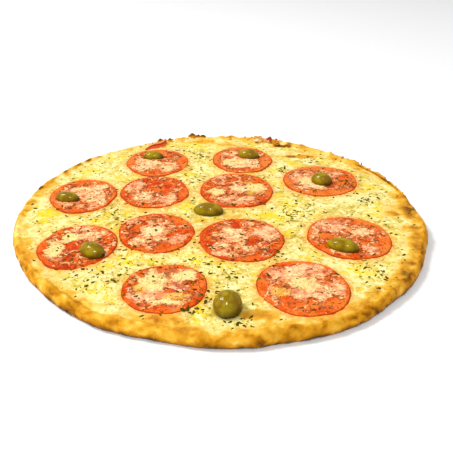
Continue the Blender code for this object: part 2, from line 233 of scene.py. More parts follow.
# How fine the meshes are.
CRUST_STEPS = 860
CRUST_PROFILE_POINTS = 46
CHEESE_CELLS = 280
SLICE_CELLS = 124
OLIVE_CELLS = (64, 40)
STRIP_CELLS = (48, 8)

# How baked the rim is: its mean and the waves around it. That counts on the whole rim and more at its edge.
BAKE = 0.44
BAKE_WAVES = [(1, 0.09, -0.13), (2, 0.06, 0.0)]
RIM_SHARE = 0.58
EDGE_SHARE = 0.34
# The insets between which the two fade out, and how far these wander.
RIM_FADE = (19 * MM, 8 * MM)
EDGE_FADE = (8 * MM, 1 * MM)
RIM_WANDER = 5 * MM
# How strong the painted shade at the foot of the rim's wall is, added as toasting, and between which heights.
# Flour clings to it below.
WALL_PAINTED_SHADE = 0.40
WALL_PAINTED_SHADE_HEIGHTS = (8 * MM, 0.5 * MM)
FLOUR_HEIGHTS = (0.8 * MM, 0.1 * MM)
# How much more the tops of bubbles are baked.
BUBBLE_TOAST = 0.10
# Patches of the rim and the cheese, in mm: middle x, y, half-width, half-depth, and how much more baked
# they are. Below 0 it is how much paler.
TOASTED = [
    (-169, -5, 5, 16, 0.10), (-160, 40, 4, 20, 0.12), (-155, -62, 6, 9, 0.16),
    (-148, -68, 3.2, 2.2, 0.16), (-143, -90, 5, 9, 0.18), (-114, -122, 4.5, 2.4, 0.20),
    (-96, -140, 14, 4, 0.12), (-66, -153, 6, 3, 0.14), (-52, -159, 3.2, 2.2, 0.14),
    (-36, -147, 12, 5, 0.18), (-28, -149, 4, 3, 0.14), (-12, -160, 5, 4, 0.10), (4, -164, 4, 3, 0.14),
    (29, -169, 3, 2.4, 0.12), (25, -146, 13, 4, 0.12), (56, -158, 8, 4, 0.10), (69, -158, 2.4, 2.4, 0.12),
    (88, -143, 4.2, 3, 0.16), (104, -137, 9, 5, 0.14), (117, -119, 6, 5, -0.24), (134, -98, 8, 12, 0.14),
    (136, -94, 3.4, 4, 0.14), (149, -73, 8, 9, 0.12), (151, -69, 2.6, 2.4, 0.12),
    (155, -24, 3.4, 4.4, 0.18), (159, -29, 2.4, 2.4, 0.14), (158, -7, 8, 5, 0.12), (164, 10, 7, 12, 0.12),
    (-16, 158, 8, 5, 0.16), (-78, 148, 12, 4, 0.12), (65, 146, 9, 3, 0.9), (80, 124, 16, 8, 0.2),
    (70, 118, 6, 3.4, 0.3), (3, 148, 8, 1.6, 0.20), (155, 5, 12, 12, 0.32), (147, -3, 9, 4, 0.26),
    (153, -26, 8, 6, 0.2), (8, 165, 9, 3, 0.25), (30, 163, 9, 3, 0.2), (48, 157, 8, 3, 0.3),
    (11, -9, 9, 4, 0.34), (-17, -17, 7, 3, 0.30), (-64, 0, 10, 4, 0.26), (-84, 6, 5, 5, 0.24),
    (101, 42, 6, 4, 0.24), (-40, -146, 10, 5, 0.2), (26, -143, 13, 4.6, 0.46), (4, 149, 16, 6, 0.22),
    (-17, 155, 9, 5, 0.24), (110, -126, 12, 7, 0.08), (140, -90, 9, 14, 0.14), (138, 92, 10, 12, 0.15),
    (122, 112, 12, 10, 0.15), (98, 134, 14, 8, 0.14), (-103, -135, 14, 8, 0.12),
    (-125, -118, 10, 10, 0.1), (152, -48, 9, 15, 0.2), (-149, -76, 8, 13, 0.18), (-50, -152, 20, 6, 0.1),
    (85, 118.5, 17, 3.4, 0.4),
]
# How far the edges of those patches wander, and the edges of the patches on the slices.
PATCH_WANDER = 2.4 * MM
SLICE_PATCH_WANDER = 3.0 * MM
WANDER_SIZE = 7 * MM
# Short brown scorches along the outer edge of the rim at the back left: angle and half-length in degrees,
# and strength. They end between these insets, and fade out this far down the wall.
SCORCHES = [
    (167.0, 1.9, 0.8),
    (160.0, 1.2, 0.25),
    (154.7, 1.2, 0.4),
    (147.6, 2.0, 0.6),
    (143.3, 2.0, 0.6),
    (138.2, 1.8, 0.4),
]
SCORCH_INSETS = (7.0 * MM, 5.0 * MM)
SCORCH_DROP = 6.0 * MM
# Painted shade along a crease between the cheese and the rim at the back right, added to the toasting: inset,
# half-width, middle angle and where it fades out, and how dark it is.
CREASE_INSET = 5.2 * MM
CREASE_WIDTH = (1.5 * MM, 0.3 * MM)
CREASE_ANGLE = math.radians(24)
CREASE_HALF = (math.radians(14), math.radians(9))
CREASE_PAINTED_SHADE = 0.5
# Patches of strong yellow, and of pale cream, on the cheese.
YELLOWED = [
    (-148, -7, 8, 7, 1.0), (-136, -9, 5, 5, 0.8), (-18, 141, 14, 9, 0.7), (45, 95, 10, 8, 0.5),
    (-78, -6, 8, 6, 0.5), (-101, -22, 6, 6, 1.0), (-90, -33, 5, 6, 0.9), (-68, -80, 5, 8, 0.9),
    (-55, -80, 5, 4, 0.5), (-85, -114, 5, 5, 0.8), (-90, -124, 4, 6, 0.5), (-30, 4, 5, 5, 1.0),
    (46, -12, 5, 10, 1.0), (56, 56, 5, 6, 1.0), (61, 15, 5, 5, 0.8), (66, -3, 4, 4, 0.6),
    (24, -4, 4, 4, 0.5), (-15, -77, 7, 7, 0.8), (2, -85, 4, 5, 0.8), (-8, -99, 4, 7, 0.6),
    (26, -100, 3, 6, 0.9), (-100, -108, 8, 8, 0.3), (132, -2, 10, 8, 0.4), (-30, 74, 8, 7, 0.5),
    (60, 10, 9, 12, 0.3), (-80, 66, 10, 6, 0.4), (105, -88, 10, 8, 0.3), (160, -54, 4, 7, 0.3),
]
PALED = [
    (-155, 15, 5, 12, 1.0), (120, 30, 18, 10, 0.8), (56, -76, 12, 9, 0.6), (-92, -98, 16, 8, 0.5),
    (95, -90, 12, 8, 0.6), (-20, -100, 14, 9, 0.5), (-10, 82, 12, 9, 0.6), (60, 88, 9, 10, 0.7),
    (-118, 62, 14, 9, 0.5), (30, -95, 12, 8, 0.2), (-2, -150, 14, 5, 0.6), (118, 92, 10, 8, 0.7),
    (-78, -118, 10, 7, 0.5),
]

# Olive-brown patches: painted shade beside the front olive, stains where dark crumbs lie, broad darker
# patches.
STAINS_AND_SHADE = [
    (24, -141, 6, 3, 0.3), (-7, -134, 3, 7, 0.3), (-20, 132, 2.4, 3.4, 0.8), (16, 146, 8, 1.6, 0.5),
    (-60, -84, 4, 3, 0.5), (9, -98, 14, 8, 0.15), (-95, -100, 22, 14, 0.14), (-100, -8, 22, 10, 0.1),
]

# What shows on each tomato slice, in mm from its middle: kind, x, y, half-width, half-depth.
SLICE_PATCHES = {
    1: [
        ("cheese", -12, -5, 12, 13), ("cheese", 12, -11, 9, 9), ("red", -2, -24, 9, 5),
        ("brown", 12, 18, 6, 5), ("orange", 26, 3, 5, 14), ("orange", -27, -2, 4, 12),
        ("orange", -8, 26, 14, 4),
    ],
    2: [
        ("cream", -10, -7, 9, 6), ("cheese", -2, -9, 16, 10), ("cheese", -12, 15, 8, 6),
        ("orange", 24, -8, 6, 17), ("orange", -25, -1, 4, 10), ("red", 1, -25, 12, 4),
        ("orange", 4, 26, 20, 4), ("cheese", 6, -12, 8, 6), ("red", -18, 18, 7, 5),
    ],
    3: [
        ("blush", -19, 5, 11, 10), ("cheese", -6, -15, 13, 6), ("red", 25, 5, 6, 12),
        ("orange", -1, -26, 24, 7), ("brown", 7, -13, 4, 3), ("orange", 2, 27, 22, 4),
        ("blush", 18, 13, 7, 5), ("orange", -30, -2, 4, 12), ("cream", -13, 0, 6, 6),
        ("cheese", -8, -3, 8, 6), ("red", 14, -6, 8, 3),
    ],
    4: [
        ("cheese", 6, 7, 14, 13), ("blush", -12, -13, 9, 6), ("cheese", 14, -13, 9, 7),
        ("orange", -27, 2, 4, 12), ("red", 21, 7, 2.4, 7), ("orange", 4, 28, 22, 5),
        ("blush", 16, -4, 4, 5),
    ],
    5: [
        ("red", 10, 7, 4, 7), ("cheese", -9, -12, 8, 7), ("blush", 13, -14, 7, 7),
        ("orange", 27, -7, 5, 12), ("blush", -18, 11, 7, 8), ("red", -3, 17, 9, 6), ("red", 12, 12, 8, 6),
        ("brown", 1, 4, 6, 4),
    ],
    6: [
        ("orange", 22, 20, 9, 6), ("blush", -14, 25, 7, 4), ("cream", -19, -5, 7, 6), ("red", -7, 17, 4, 9),
        ("brown", -26, 4, 4, 6), ("cream", 18, 4, 7, 9), ("yellow", 14, 14, 5, 4), ("yellow", 13, -6, 3, 5),
        ("blush", 1, -22, 15, 7), ("red", 21, -21, 6, 7), ("cheese", 2, 6, 6, 9),
    ],
    7: [
        ("orange", -26, -9, 4, 10), ("cream", -17, -4, 6, 11), ("cream", -8, 13, 6, 6),
        ("cheese", 8, 15, 8, 6), ("brown", -3, 1, 5, 7), ("red", 4, -28, 14, 4), ("blush", -14, -20, 5, 4),
        ("red", -4, -18, 3, 3), ("orange", 7, -20, 4, 3), ("blush", 5, 28, 2.4, 5),
        ("blush", 25, -10, 2, 6), ("cheese", -7, 26, 3, 5),
    ],
    8: [
        ("blush", -23, 18, 6, 5), ("cheese", -4, 0, 9, 12), ("red", -6, -8, 4, 4), ("blush", 17, -12, 6, 8),
        ("red", 19, 1, 7, 4), ("orange", 17, 21, 10, 6), ("orange", 16, -25, 12, 6),
        ("brown", -18, 1, 4, 8), ("cheese", -15, -16, 6, 6),
    ],
    9: [
        ("red", -29, -4, 4, 17), ("red", -3, 20, 5, 5), ("cheese", -5, 4, 10, 9), ("blush", 21, 10, 9, 10),
        ("red", 10, -3, 5, 5), ("cheese", 6, -15, 6, 4), ("blush", -16, -23, 7, 5),
        ("orange", 4, -29, 14, 4), ("red", 25, -15, 5, 8), ("cheese", -16, -10, 5, 5),
    ],
    10: [
        ("blush", -14, 18, 13, 8), ("cheese", 13, 8, 8, 7), ("brown", -18, 3, 5, 4),
        ("blush", 16, -19, 6, 5), ("red", 8, -20, 4, 5), ("orange", 26, -17, 5, 13),
        ("orange", -24, -18, 5, 6), ("orange", 16, 25, 10, 5), ("cheese", -11, -25, 6, 3),
        ("red", -4, -29, 12, 3),
    ],
    11: [
        ("cream", -9, 8, 9, 10), ("cream", 12, 14, 8, 5), ("blush", -4, -9, 8, 6), ("yellow", 9, -9, 8, 3),
        ("red", 24, -4, 5, 11), ("orange", 6, -26, 14, 4), ("brown", 4, -2, 5, 1.6),
        ("yellow", -17, 0, 4, 5), ("cream", 3, -17, 10, 2.4), ("red", -29, 0, 3, 12),
        ("blush", -19, -12, 5, 6), ("blush", 10, 0, 7, 3),
    ],
    12: [
        ("yellow", -17, -6, 6, 5), ("cream", 2, 4, 8, 7), ("blush", 8, 22, 15, 6), ("blush", -18, 16, 7, 7),
        ("cheese", -6, 20, 4, 3), ("cheese", 14, 14, 4, 3), ("red", -29, 6, 3, 14),
        ("red", -16, 27, 12, 2.4), ("brown", -11, -15, 4, 1.8), ("brown", 4, -14, 3, 1.8),
        ("orange", -3, -24, 14, 7), ("blush", 25, -2, 5, 7), ("red", 22, 20, 7, 3),
        ("cheese", 15, -3, 5, 4), ("blush", 2, -8, 12, 5), ("orange", 22, -19, 8, 4),
        ("cheese", -8, 16, 8, 3),
    ],
}
# How each kind of patch moves the marks that a slice's finish and relief follow.
PATCH_MARKS = {
    "cheese": {"cover": 0.9},
    "blush": {"cover": 0.7, "blush": 0.9},
    "red": {"cover": -0.6, "red": 0.4},
    "orange": {"cover": -0.8, "red": -0.5},
    # Brown patches are dark spots painted on a slice, some of them painted shade.
    "brown": {"cover": -0.8, "brown": 0.8},
    "yellow": {"cover": 0.3, "yellow": 0.9},
    "cream": {"cover": 1.0, "cream": 0.9},
}
# The marks that the finishes of the cheese and of the slices read.
CHEESE_MARKS = ("toast", "yellow", "pale", "juice", "stain_and_shade")
SLICE_MARKS = ("edge", "cover", "tone", "blush", "red", "brown", "yellow", "cream")
# How much redder the flesh of each slice is. Below 0 it is paler.
SLICE_REDNESS = {
    1: -0.3, 2: -0.3, 3: -0.5, 4: -0.1, 5: 0.25, 6: 0.1,
    7: 0.45, 8: 0.3, 9: 0.35, 10: -0.3, 11: 0.0, 12: -0.2,
}

# Shreds of cheese: the share of a slice within which they lie, how far from the olives, and their length,
# width and height.
SHRED_SPREAD = 0.86
SHRED_CLEARANCE = 1.5 * MM
SHRED_SIZES = [(1.0 * MM, 3.0 * MM), (0.4 * MM, 0.7 * MM), (0.25 * MM, 0.4 * MM)]

# Where herbs lie thickest, in mm: middle x, y, spread and share of all herbs.
HERB_CLUSTERS = [
    (-92, -106, 15, 5), (-60, -88, 20, 6), (-70, -66, 10, 2), (-21, -138, 7, 4), (-8, -124, 9, 3),
    (15, -153, 10, 3), (74, 8, 18, 3), (62, 84, 8, 3), (118, 52, 9, 3), (132, 22, 10, 3),
    (112, -84, 10, 4), (125, -104, 8, 2), (-22, 62, 12, 3), (-95, 0, 14, 4), (-20, 116, 9, 3),
    (-12, -80, 12, 3), (60, -8, 10, 3), (-128, -40, 8, 1), (-86, -20, 10, 2), (40, 62, 9, 2),
    (44, -70, 8, 2), (8, -95, 14, 4), (-112, -84, 12, 3), (90, 108, 9, 2),
]
HERB_SCATTER_SHARE = 110
# Those that lie anywhere reach out to this share of the radius. None lies nearer to an olive or to the
# outline than these distances.
HERB_REACH = 0.95
HERB_CLEARANCE = 0.6 * MM
HERB_INSET = 6 * MM
# The shortest flake as a share of the longest, how strongly the small ones prevail, and the widths and
# heights as shares of the length.
HERB_SHORTEST = 0.16
HERB_SMALLNESS = 2.7
HERB_WIDTHS = (0.24, 0.54)
HERB_HEIGHTS = (0.12, 0.22)

# The strip of tomato skin, as in the solids: points along its foot in mm, its height, thickness and lean.
STRIP_PATH = [(-79.0, 131.5), (-75.0, 135.4), (-69.5, 137.6), (-64.0, 140.2), (-59.6, 144.4), (-57.8, 149.6)]
STRIP_HEIGHT = 6.6 * MM
STRIP_THICKNESS = 2.4 * MM
STRIP_FOOT = 9.6 * MM
STRIP_LEAN = 0.35
STRIP_TAPER = 0.45
# The dressed strip has a thinner wall that starts a little above its foot, widens, curls and waves.
STRIP_WALL = STRIP_THICKNESS * 0.6
STRIP_LIFT = 0.2 * MM
STRIP_WIDENING = 0.15
STRIP_CURL = 0.9 * MM
STRIP_WAVE = 0.4 * MM

# Burnt crags on the back rim, as in the solids, and two small ones on the right: angle, width, height, inset.
CRAGS = [
    (101.2, 11.0, 6.0, 3.4),
    (99.2, 8.0, 4.2, 3.4),
    (97.2, 8.6, 5.4, 3.4),
    (114.0, 8.0, 4.6, 5.0),
    (110.2, 6.0, 3.8, 5.0),
    (43.3, 1.8, 5.0, 1.6),
    (34.8, 2.0, 4.0, 1.0),
]
# How much of a crag is sunk in the rim, how far it narrows to its top, its depth as a share of its width,
# and how baked its foot and its top are.
CRAG_SUNK = 0.42
CRAG_TAPER = 0.5
CRAG_DEPTH = 0.45
CRAG_TOAST = (0.36, 0.70)

# Toasted crumbs on the rim: how many, where they lie, with the angle and its spread in degrees and the inset
# and its spread in mm, and half their length.
CRUMBS = 170
CRUMB_PLACES = [
    (112, 5, 3, 1.5),
    (77, 3.5, 5, 1.8),
    (73, 4, 4, 2.0),
    (48, 4, 2, 1.0),
    (31, 7, 1.5, 1.5),
    (26, 8, 1.5, 1.5),
]
CRUMB_SIZES = (0.3 * MM, 2.0 * MM)

# The camera of the photograph, fitted to the pizza: place, direction, upright, lens and shift.
CAMERA_PLACE = (-0.00045, -0.4680, 0.2655)
CAMERA_FORWARD = (0.0, 0.87195, -0.48959)
CAMERA_UP = (-0.00894, 0.48957, 0.87192)
CAMERA_LENS = 48.98
CAMERA_SHIFT = (0.01475, -0.0165)

# The floor: half its width, and how far below the pizza it lies. The two lights: where, and how wide.
FLOOR_HALF = 6.0
FLOOR_DROP = 0.1 * MM
KEY_PLACE = (-1.5, 0.13, 2.0)
KEY_SIZE = 0.7
FRONT_PLACE = (-0.15, -1.6, 1.95)
FRONT_SIZE = 0.42


# ---- Shape helpers ------------------------------------------------------------------------------------


def smooth(low, high, value):
    """0 at low, 1 at high and an even S between them; low may be the larger."""
    share = min(max((value - low) / (high - low), 0.0), 1.0)
    return share * share * (3 - 2 * share)


def between(first, second, share):
    return first + (second - first) * share


def clamp(value, low=0.0, high=1.0):
    return min(high, max(low, value))


def uneven(x, y, z, size, seed, octaves=3):
    """Noise from about -1 to 1, with features of this size. Each seed reads another part of the noise."""
    return noise.fractal(Vector((x / size + seed * 7.3, y / size - seed * 3.1, z / size)), 1.0, 2.0, octaves)


def patchy(x, y, patches):
    """The summed strength here of soft patches, which are in mm: x, y, half-width, half-depth, strength."""
    full, end = 0.2, 2.2
    total = 0.0
    for middle_x, middle_y, wide, deep, strength in patches:
        across = (x - middle_x * MM) / (wide * MM)
        along = (y - middle_y * MM) / (deep * MM)
        away = across * across + along * along
        if away < end:
            total += strength * smooth(end, full, away)
    return total


def wandering(x, y, reach):
    """The place shifted unevenly, so that what is soft and round there gets a ragged outline."""
    return x + uneven(x, y, 0, WANDER_SIZE, 15) * reach, y + uneven(x, y, 0, WANDER_SIZE, 16) * reach


def strings(x, y, size, seed):
    """Melted strings of cheese that run roughly in one direction: 1 along their crests, less between them."""
    stretch, steepness = 2.4, 2.4
    bend = uneven(x, y, 0, size * 3, seed, 2) * size
    along = x * math.cos(STRING_DIRECTION) + y * math.sin(STRING_DIRECTION)
    across = y * math.cos(STRING_DIRECTION) - x * math.sin(STRING_DIRECTION) + bend
    return 1 - steepness * abs(uneven(along / stretch, across, 0, size, seed + 1, 2))


def curve(before, start, end, after, share):
    """A smooth curve from start to end that heeds the points before and after them."""
    return 0.5 * (
        2 * start
        + (end - before) * share
        + (2 * before - 5 * start + 4 * end - after) * share**2
        + (3 * start - before - 3 * end + after) * share**3
    )


def wave(angle, waves):
    return sum(a * math.cos(n * angle) + b * math.sin(n * angle) for n, a, b in waves)


def random_waves(seed, orders, depth):
    draw = random.Random(seed)
    turns = [draw.uniform(0, 2 * math.pi) for _ in orders]
    return [(n, depth * math.cos(t), depth * math.sin(t)) for n, t in zip(orders, turns)]


KNEADING = random_waves(3, KNEADED_WAVES, KNEADED_DEPTH)
RIM_HEIGHTS = random_waves(8, range(3, 15), RIM_UNEVENNESS / 3)
CHEESE_LOBES = random_waves(21, range(5, 21, 2), CHEESE_INSET_WAVE / 4)


def solid_radius(angle):
    return DOUGH_RADIUS + wave(angle, OUTLINE_WAVES) + wave(angle, KNEADING)


def dough_radius(angle):
    """The reach of the dressed dough at an angle, with its bulges."""
    radius = solid_radius(angle)
    for degrees, spread, reach in BULGES:
        away = (math.degrees(angle) - degrees + 180) % 360 - 180
        radius += reach * math.exp(-(away / spread) ** 2)
    return radius


def outline_middle():
    """The middle of the outline's box, which the solids have at the origin."""
    angles = [2 * math.pi * k / OUTLINE_SEGMENTS for k in range(OUTLINE_SEGMENTS)]
    xs = [solid_radius(a) * math.cos(a) for a in angles]
    ys = [solid_radius(a) * math.sin(a) for a in angles]
    return Vector(((min(xs) + max(xs)) / 2, (min(ys) + max(ys)) / 2, 0))


MIDDLE = outline_middle()


def rim_rise(angle):
    """How much higher than RIM_TOP the rim stands here: it is highest at the back."""
    at_back = (0.5 + 0.5 * math.sin(angle)) ** 3
    return BACK_RIM_RISE * at_back + wave(angle, RIM_HEIGHTS)


def rise_share(inset, height):
    """How far a point of the dough's profile follows the rise of the rim; its underside stays flat."""
    if height < PAN_TOP:
        return 0.0
    crest_inset = DOUGH_PROFILE[CREST_RING][0]
    slope_inset = DOUGH_PROFILE[CREST_RING + 1][0]
    if inset > crest_inset:
        return max(0.0, 1 - (inset - crest_inset) / (slope_inset - crest_inset))
    return smooth(PAN_TOP, RIM_TOP, height)


def dough_height(angle, inset):
    """Height of the dough's upper side, from its crest inwards."""
    crest_inset, crest_height = DOUGH_PROFILE[CREST_RING]
    stations = [(crest_inset, crest_height + rim_rise(angle))] + DOUGH_PROFILE[CREST_RING + 1:]
    for (near, high), (far, low) in zip(stations, stations[1:]):
        if inset <= far:
            return high + (low - high) * (inset - near) / (far - near)
    return PAN_TOP


def at_inset(angle, inset, height):
    radius = dough_radius(angle) - inset
    return Vector((radius * math.cos(angle) - MIDDLE.x, radius * math.sin(angle) - MIDDLE.y, height))


def inset_of(x, y):
    """The angle of a place on the pizza, and how far it lies inside the dough's outline."""
    along_x, along_y = x + MIDDLE.x, y + MIDDLE.y
    angle = math.atan2(along_y, along_x)
    return angle, dough_radius(angle) - math.hypot(along_x, along_y)


def cheese_inset(angle):
    """How far in from the dough's outline the cheese ends."""
    inset = CHEESE_INSET - CHEESE_FILM + wave(angle, CHEESE_LOBES)
    burnt = max(0.0, 1 - abs(math.degrees(angle) - BURNT_ANGLE) / BURNT_SPREAD)
    inset += (BURNT_INSET - inset) * min(1.0, burnt * 2)
    inset += uneven(math.cos(angle), math.sin(angle), 0, 0.09, 14) * CHEESE_INSET_WAVE
    return clamp(inset, *CHEESE_INSET_RANGE)


def rim_bubbles(count):
    """Air bubbles under the skin of the rim: middle, radius and height."""
    draw = random.Random(5)
    bubbles = []
    for _ in range(count):
        angle = draw.uniform(-math.pi, math.pi)
        radius = draw.uniform(*BUBBLE_RADII)
        place = at_inset(angle, draw.uniform(*BUBBLE_INSETS), 0)
        bubbles.append((place.x, place.y, radius, radius * draw.uniform(*BUBBLE_SWELL)))
    return bubbles


def bubble_height(x, y, bubbles):
    """How far the bubbles lift the surface here, and how near to a bubble's top this is."""
    lift, top = 0.0, 0.0
    for middle_x, middle_y, radius, height in bubbles:
        away = ((x - middle_x) ** 2 + (y - middle_y) ** 2) / (radius * radius)
        if away < 1:
            near = (1 - away) ** 2
            lift = max(lift, height * near)
            top = max(top, near)
    return lift, top


def toast(x, y, bubble_top):
    """How baked the surface is, from 0 for white cheese to 1 for burnt dough, with painted shade in a crease
    added.
    """
    angle, inset = inset_of(x, y)
    edge = inset + uneven(x, y, 0, 12 * MM, 2) * RIM_WANDER
    on_rim = smooth(*RIM_FADE, edge)
    level = (BAKE + wave(angle, BAKE_WAVES)) * (RIM_SHARE * on_rim + EDGE_SHARE * smooth(*EDGE_FADE, edge))
    level += (uneven(x, y, 0, 13 * MM, 4) * 0.26 + uneven(x, y, 0, 5 * MM, 6) * 0.10) * on_rim
    # Painted shade in the crease between cheese and rim at the back right.
    crease = smooth(*CREASE_WIDTH, abs(inset - CREASE_INSET))
    crease *= smooth(*CREASE_HALF, abs(angle - CREASE_ANGLE))
    near = wandering(x, y, PATCH_WANDER)
    turn = math.degrees(inset_of(*near)[0])
    scorch = sum(share * smooth(half, 0.3 * half, abs(turn - middle)) for middle, half, share in SCORCHES)
    scorch *= smooth(*SCORCH_INSETS, inset) * smooth(-SCORCH_DROP, 0, inset)
    return level + BUBBLE_TOAST * bubble_top + CREASE_PAINTED_SHADE * crease + scorch + patchy(*near, TOASTED)


# ---- Outlines read from the solids ---------------------------------------------------------------------


class SliceOutline:
    """The outline of a tomato slice, read from its solid: the reach from its middle at each angle."""

    STEPS = 360
    # A place farther from the middle than FAR_OFF is outside, and its distance need not be exact.
    FAR_OFF = 42 * MM
    TYPICAL_REACH = 36 * MM

    def __init__(self, node):
        low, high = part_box(node)
        self.x, self.y = (low.x + high.x) / 2, (low.y + high.y) / 2
        rim = {}
        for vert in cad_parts[node].data.vertices:
            if abs(vert.co.z - SLICE_WIDEST) < 0.02 * MM:
                across, along = vert.co.x - self.x, vert.co.y - self.y
                rim[round(math.atan2(along, across), 3)] = math.hypot(across, along)
        self.corners = sorted(rim.items())
        self.table = [self.read(2 * math.pi * k / self.STEPS - math.pi) for k in range(self.STEPS)]

    def read(self, angle):
        """A smooth curve through the four corners nearest to the angle."""
        count = len(self.corners)
        after = next((k for k, (a, _) in enumerate(self.corners) if a > angle), count)
        near = []
        for k in range(after - 2, after + 2):
            corner, reach = self.corners[k % count]
            near.append((corner + k // count * 2 * math.pi, reach))
        start, end = near[1][0], near[2][0]
        return curve(*(reach for _, reach in near), (angle - start) / (end - start))

    def reach(self, angle):
        place = (angle + math.pi) / (2 * math.pi) * self.STEPS
        below = int(place)
        return between(self.table[below % self.STEPS], self.table[(below + 1) % self.STEPS], place - below)

    def spot(self, angle, radius):
        """The place this far from the slice's middle."""
        return self.x + radius * math.cos(angle), self.y + radius * math.sin(angle)

    def outside(self, x, y):
        """How far outside the slice a place is; inside it is below 0."""
        across, along = x - self.x, y - self.y
        away = math.hypot(across, along)
        if away > self.FAR_OFF:
            return away - self.TYPICAL_REACH
        return away - self.reach(math.atan2(along, across))


class OliveShape:
    """An olive's place, axis and half-sizes, read from its solid: its axis joins the two farthest corners."""

    def __init__(self, node):
        corners = {tuple(round(c, 5) for c in v.co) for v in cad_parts[node].data.vertices}
        corners = [Vector(c) for c in sorted(corners)]
        _, one, other = max(((a - b).length, tuple(a), tuple(b)) for a in corners for b in corners)
        one, other = Vector(one), Vector(other)
        self.middle = (one + other) / 2
        self.axis = (other - one).normalized()
        if self.axis.x < 0:
            self.axis.negate()
        self.half_length = (other - one).length / 2
        low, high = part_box(node)
        self.half_thickness = (high.z - low.z) / 2
        self.middle.z = (high.z + low.z) / 2

    def outside(self, x, y):
        """Roughly how far outside the olive's outline, seen from above, a place is."""
        across, along = x - self.middle.x, y - self.middle.y
        lengthwise = across * self.axis.x + along * self.axis.y
        sideways = -across * self.axis.y + along * self.axis.x
        share = math.hypot(lengthwise / self.half_length, sideways / self.half_thickness)
        return (share - 1) * self.half_thickness


SLICES = {number: SliceOutline(f"tomato_slice_{number:02d}") for number in range(1, SLICE_COUNT + 1)}
OLIVES = {number: OliveShape(f"olive_{number:02d}") for number in range(1, OLIVE_COUNT + 1)}


def olive_distance(x, y):
    """How far outside the nearest olive a place is."""
    return min(olive.outside(x, y) for olive in OLIVES.values())


# ---- Settings ------------------------------------------------------------------------------------------


def linear(value):
    """A channel from a colour picker, 0 to 255, as linear light."""
    share = value / 255
    return share / 12.92 if share <= 0.04045 else ((share + 0.055) / 1.055) ** 2.4


def colour(name, description, *channels):
    default = [linear(channel) for channel in channels]
    return FloatVectorProperty(
        name=name, description=description, default=default, min=0, max=1, subtype="COLOR"
    )


def distance(name, description, millimetres):
    return FloatProperty(
        name=name, description=description, default=millimetres * MM, min=0, precision=5, unit="LENGTH"
    )


def amount(name, description, number, unit="NONE"):
    return FloatProperty(name=name, description=description, default=number, min=0, unit=unit)


def how_many(name, description, number):
    return IntProperty(name=name, description=description, default=number, min=0)


class DoughSettings(bpy.types.PropertyGroup):
    """The baked dough, and the colours of whatever is toasted"""

    straw: colour("Straw", "Lightly baked cheese and dough", 250, 222, 138)
    gold: colour("Gold", "Golden rim", 236, 180, 54)
    amber: colour("Amber", "Well baked patches", 202, 134, 14)
    brown: colour("Brown", "Brown spots", 136, 82, 0)
    burnt: colour("Burnt", "Tips that burnt", 72, 44, 14)
    underside: colour("Underside", "Floury underside", 232, 208, 146)
    lumps: distance("Lumps", "Height of the lumps of the rim", 0.42)
    bubbles: how_many("Bubbles", "Air bubbles under the skin of the rim", 120)


class CheeseSettings(bpy.types.PropertyGroup):
    """The layer of melted cheese"""

    cream: colour("Cream", "Melted cheese", 233, 210, 112)
    yellow: colour("Yellow", "Oily yellow patches", 240, 212, 22)
    pale: colour("Pale", "Whitest cheese", 248, 238, 166)
    # Painted shade, greenish, in the hollows of the cheese's bump; the darkest hollows take the olive-brown
    # colour below.
    dull_hollow_shade: colour("Dull", "Greenish hollows", 211, 190, 90)
    # This colour serves specks and stains, and painted shade around the olives and in the deepest hollows.
    stain_and_shade: colour("Stain", "Olive-brown specks and stains", 166, 138, 40)
    juice: colour("Juice", "Edge stained by tomato juice", 238, 152, 58)
    lumps: distance("Lumps", "Height of the lumps of the melted cheese", 0.34)
    grain: distance("Grain", "Height of its fine grain", 0.2)


class TomatoSettings(bpy.types.PropertyGroup):
    """The tomato slices and the cheese that melted over them"""

    red: colour("Red flesh", "Reddest flesh", 198, 54, 8)
    orange: colour("Orange flesh", "Flesh of the outer ring", 228, 90, 16)
    peach: colour("Pale flesh", "Palest flesh of the outer ring", 239, 126, 46)
    flushed: colour("Flushed", "Fresh side of the strip of skin", 244, 92, 60)
    skin: colour("Skin", "Skin at the edge", 158, 54, 6)
    # The gap colour is painted shade in the gaps between chunks, in brown patches and around olives, and dark
    # specks.
    gap: colour("Gaps", "Dark gaps in the cheese", 122, 48, 10)
    rust: colour("Rust", "Cheese stained dark by juice", 204, 104, 46)
    inner: colour("Stained", "Cheese stained by juice", 232, 148, 86)
    blush: colour("Blush", "Cheese stained pink", 246, 180, 122)
    pink: colour("Pink", "Pinkest cheese", 236, 146, 112)
    cover: colour("Cheese", "Cheese over the slice", 250, 222, 160)
    cream: colour("Cream", "Thickest cheese over the slice", 244, 221, 138)
    yellow: colour("Yellow", "Oily yellow patches", 234, 188, 68)
    cover_height: distance("Cover", "Thickness of the cheese on a slice", 0.65)


class OliveSettings(bpy.types.PropertyGroup):
    """The whole green olives"""

    green: colour("Green", "Lit side of the skin", 160, 140, 4)
    brown: colour("Brown", "Brownish patches of the skin", 128, 98, 0)
    # Besides the stalk scar, this colour is the painted shade on each olive's lower side and right.
    scar: colour("Scar", "Stalk scar and lower side", 58, 44, 0)
    wrinkles: distance("Wrinkles", "Depth of the skin's wrinkles", 0.12)


class HerbSettings(bpy.types.PropertyGroup):
    """Dried herbs, and shreds of cheese on the slices"""

    dark: colour("Dark", "Darkest flakes", 58, 46, 12)
    olive: colour("Olive", "Lighter flakes", 128, 114, 26)
    flakes: how_many("Flakes", "How many flakes lie on the pizza", 2800)
    longest: distance("Longest", "Length of the longest flakes", 5.2)
    shreds: how_many("Shreds", "Shreds of cheese on each slice", 30)


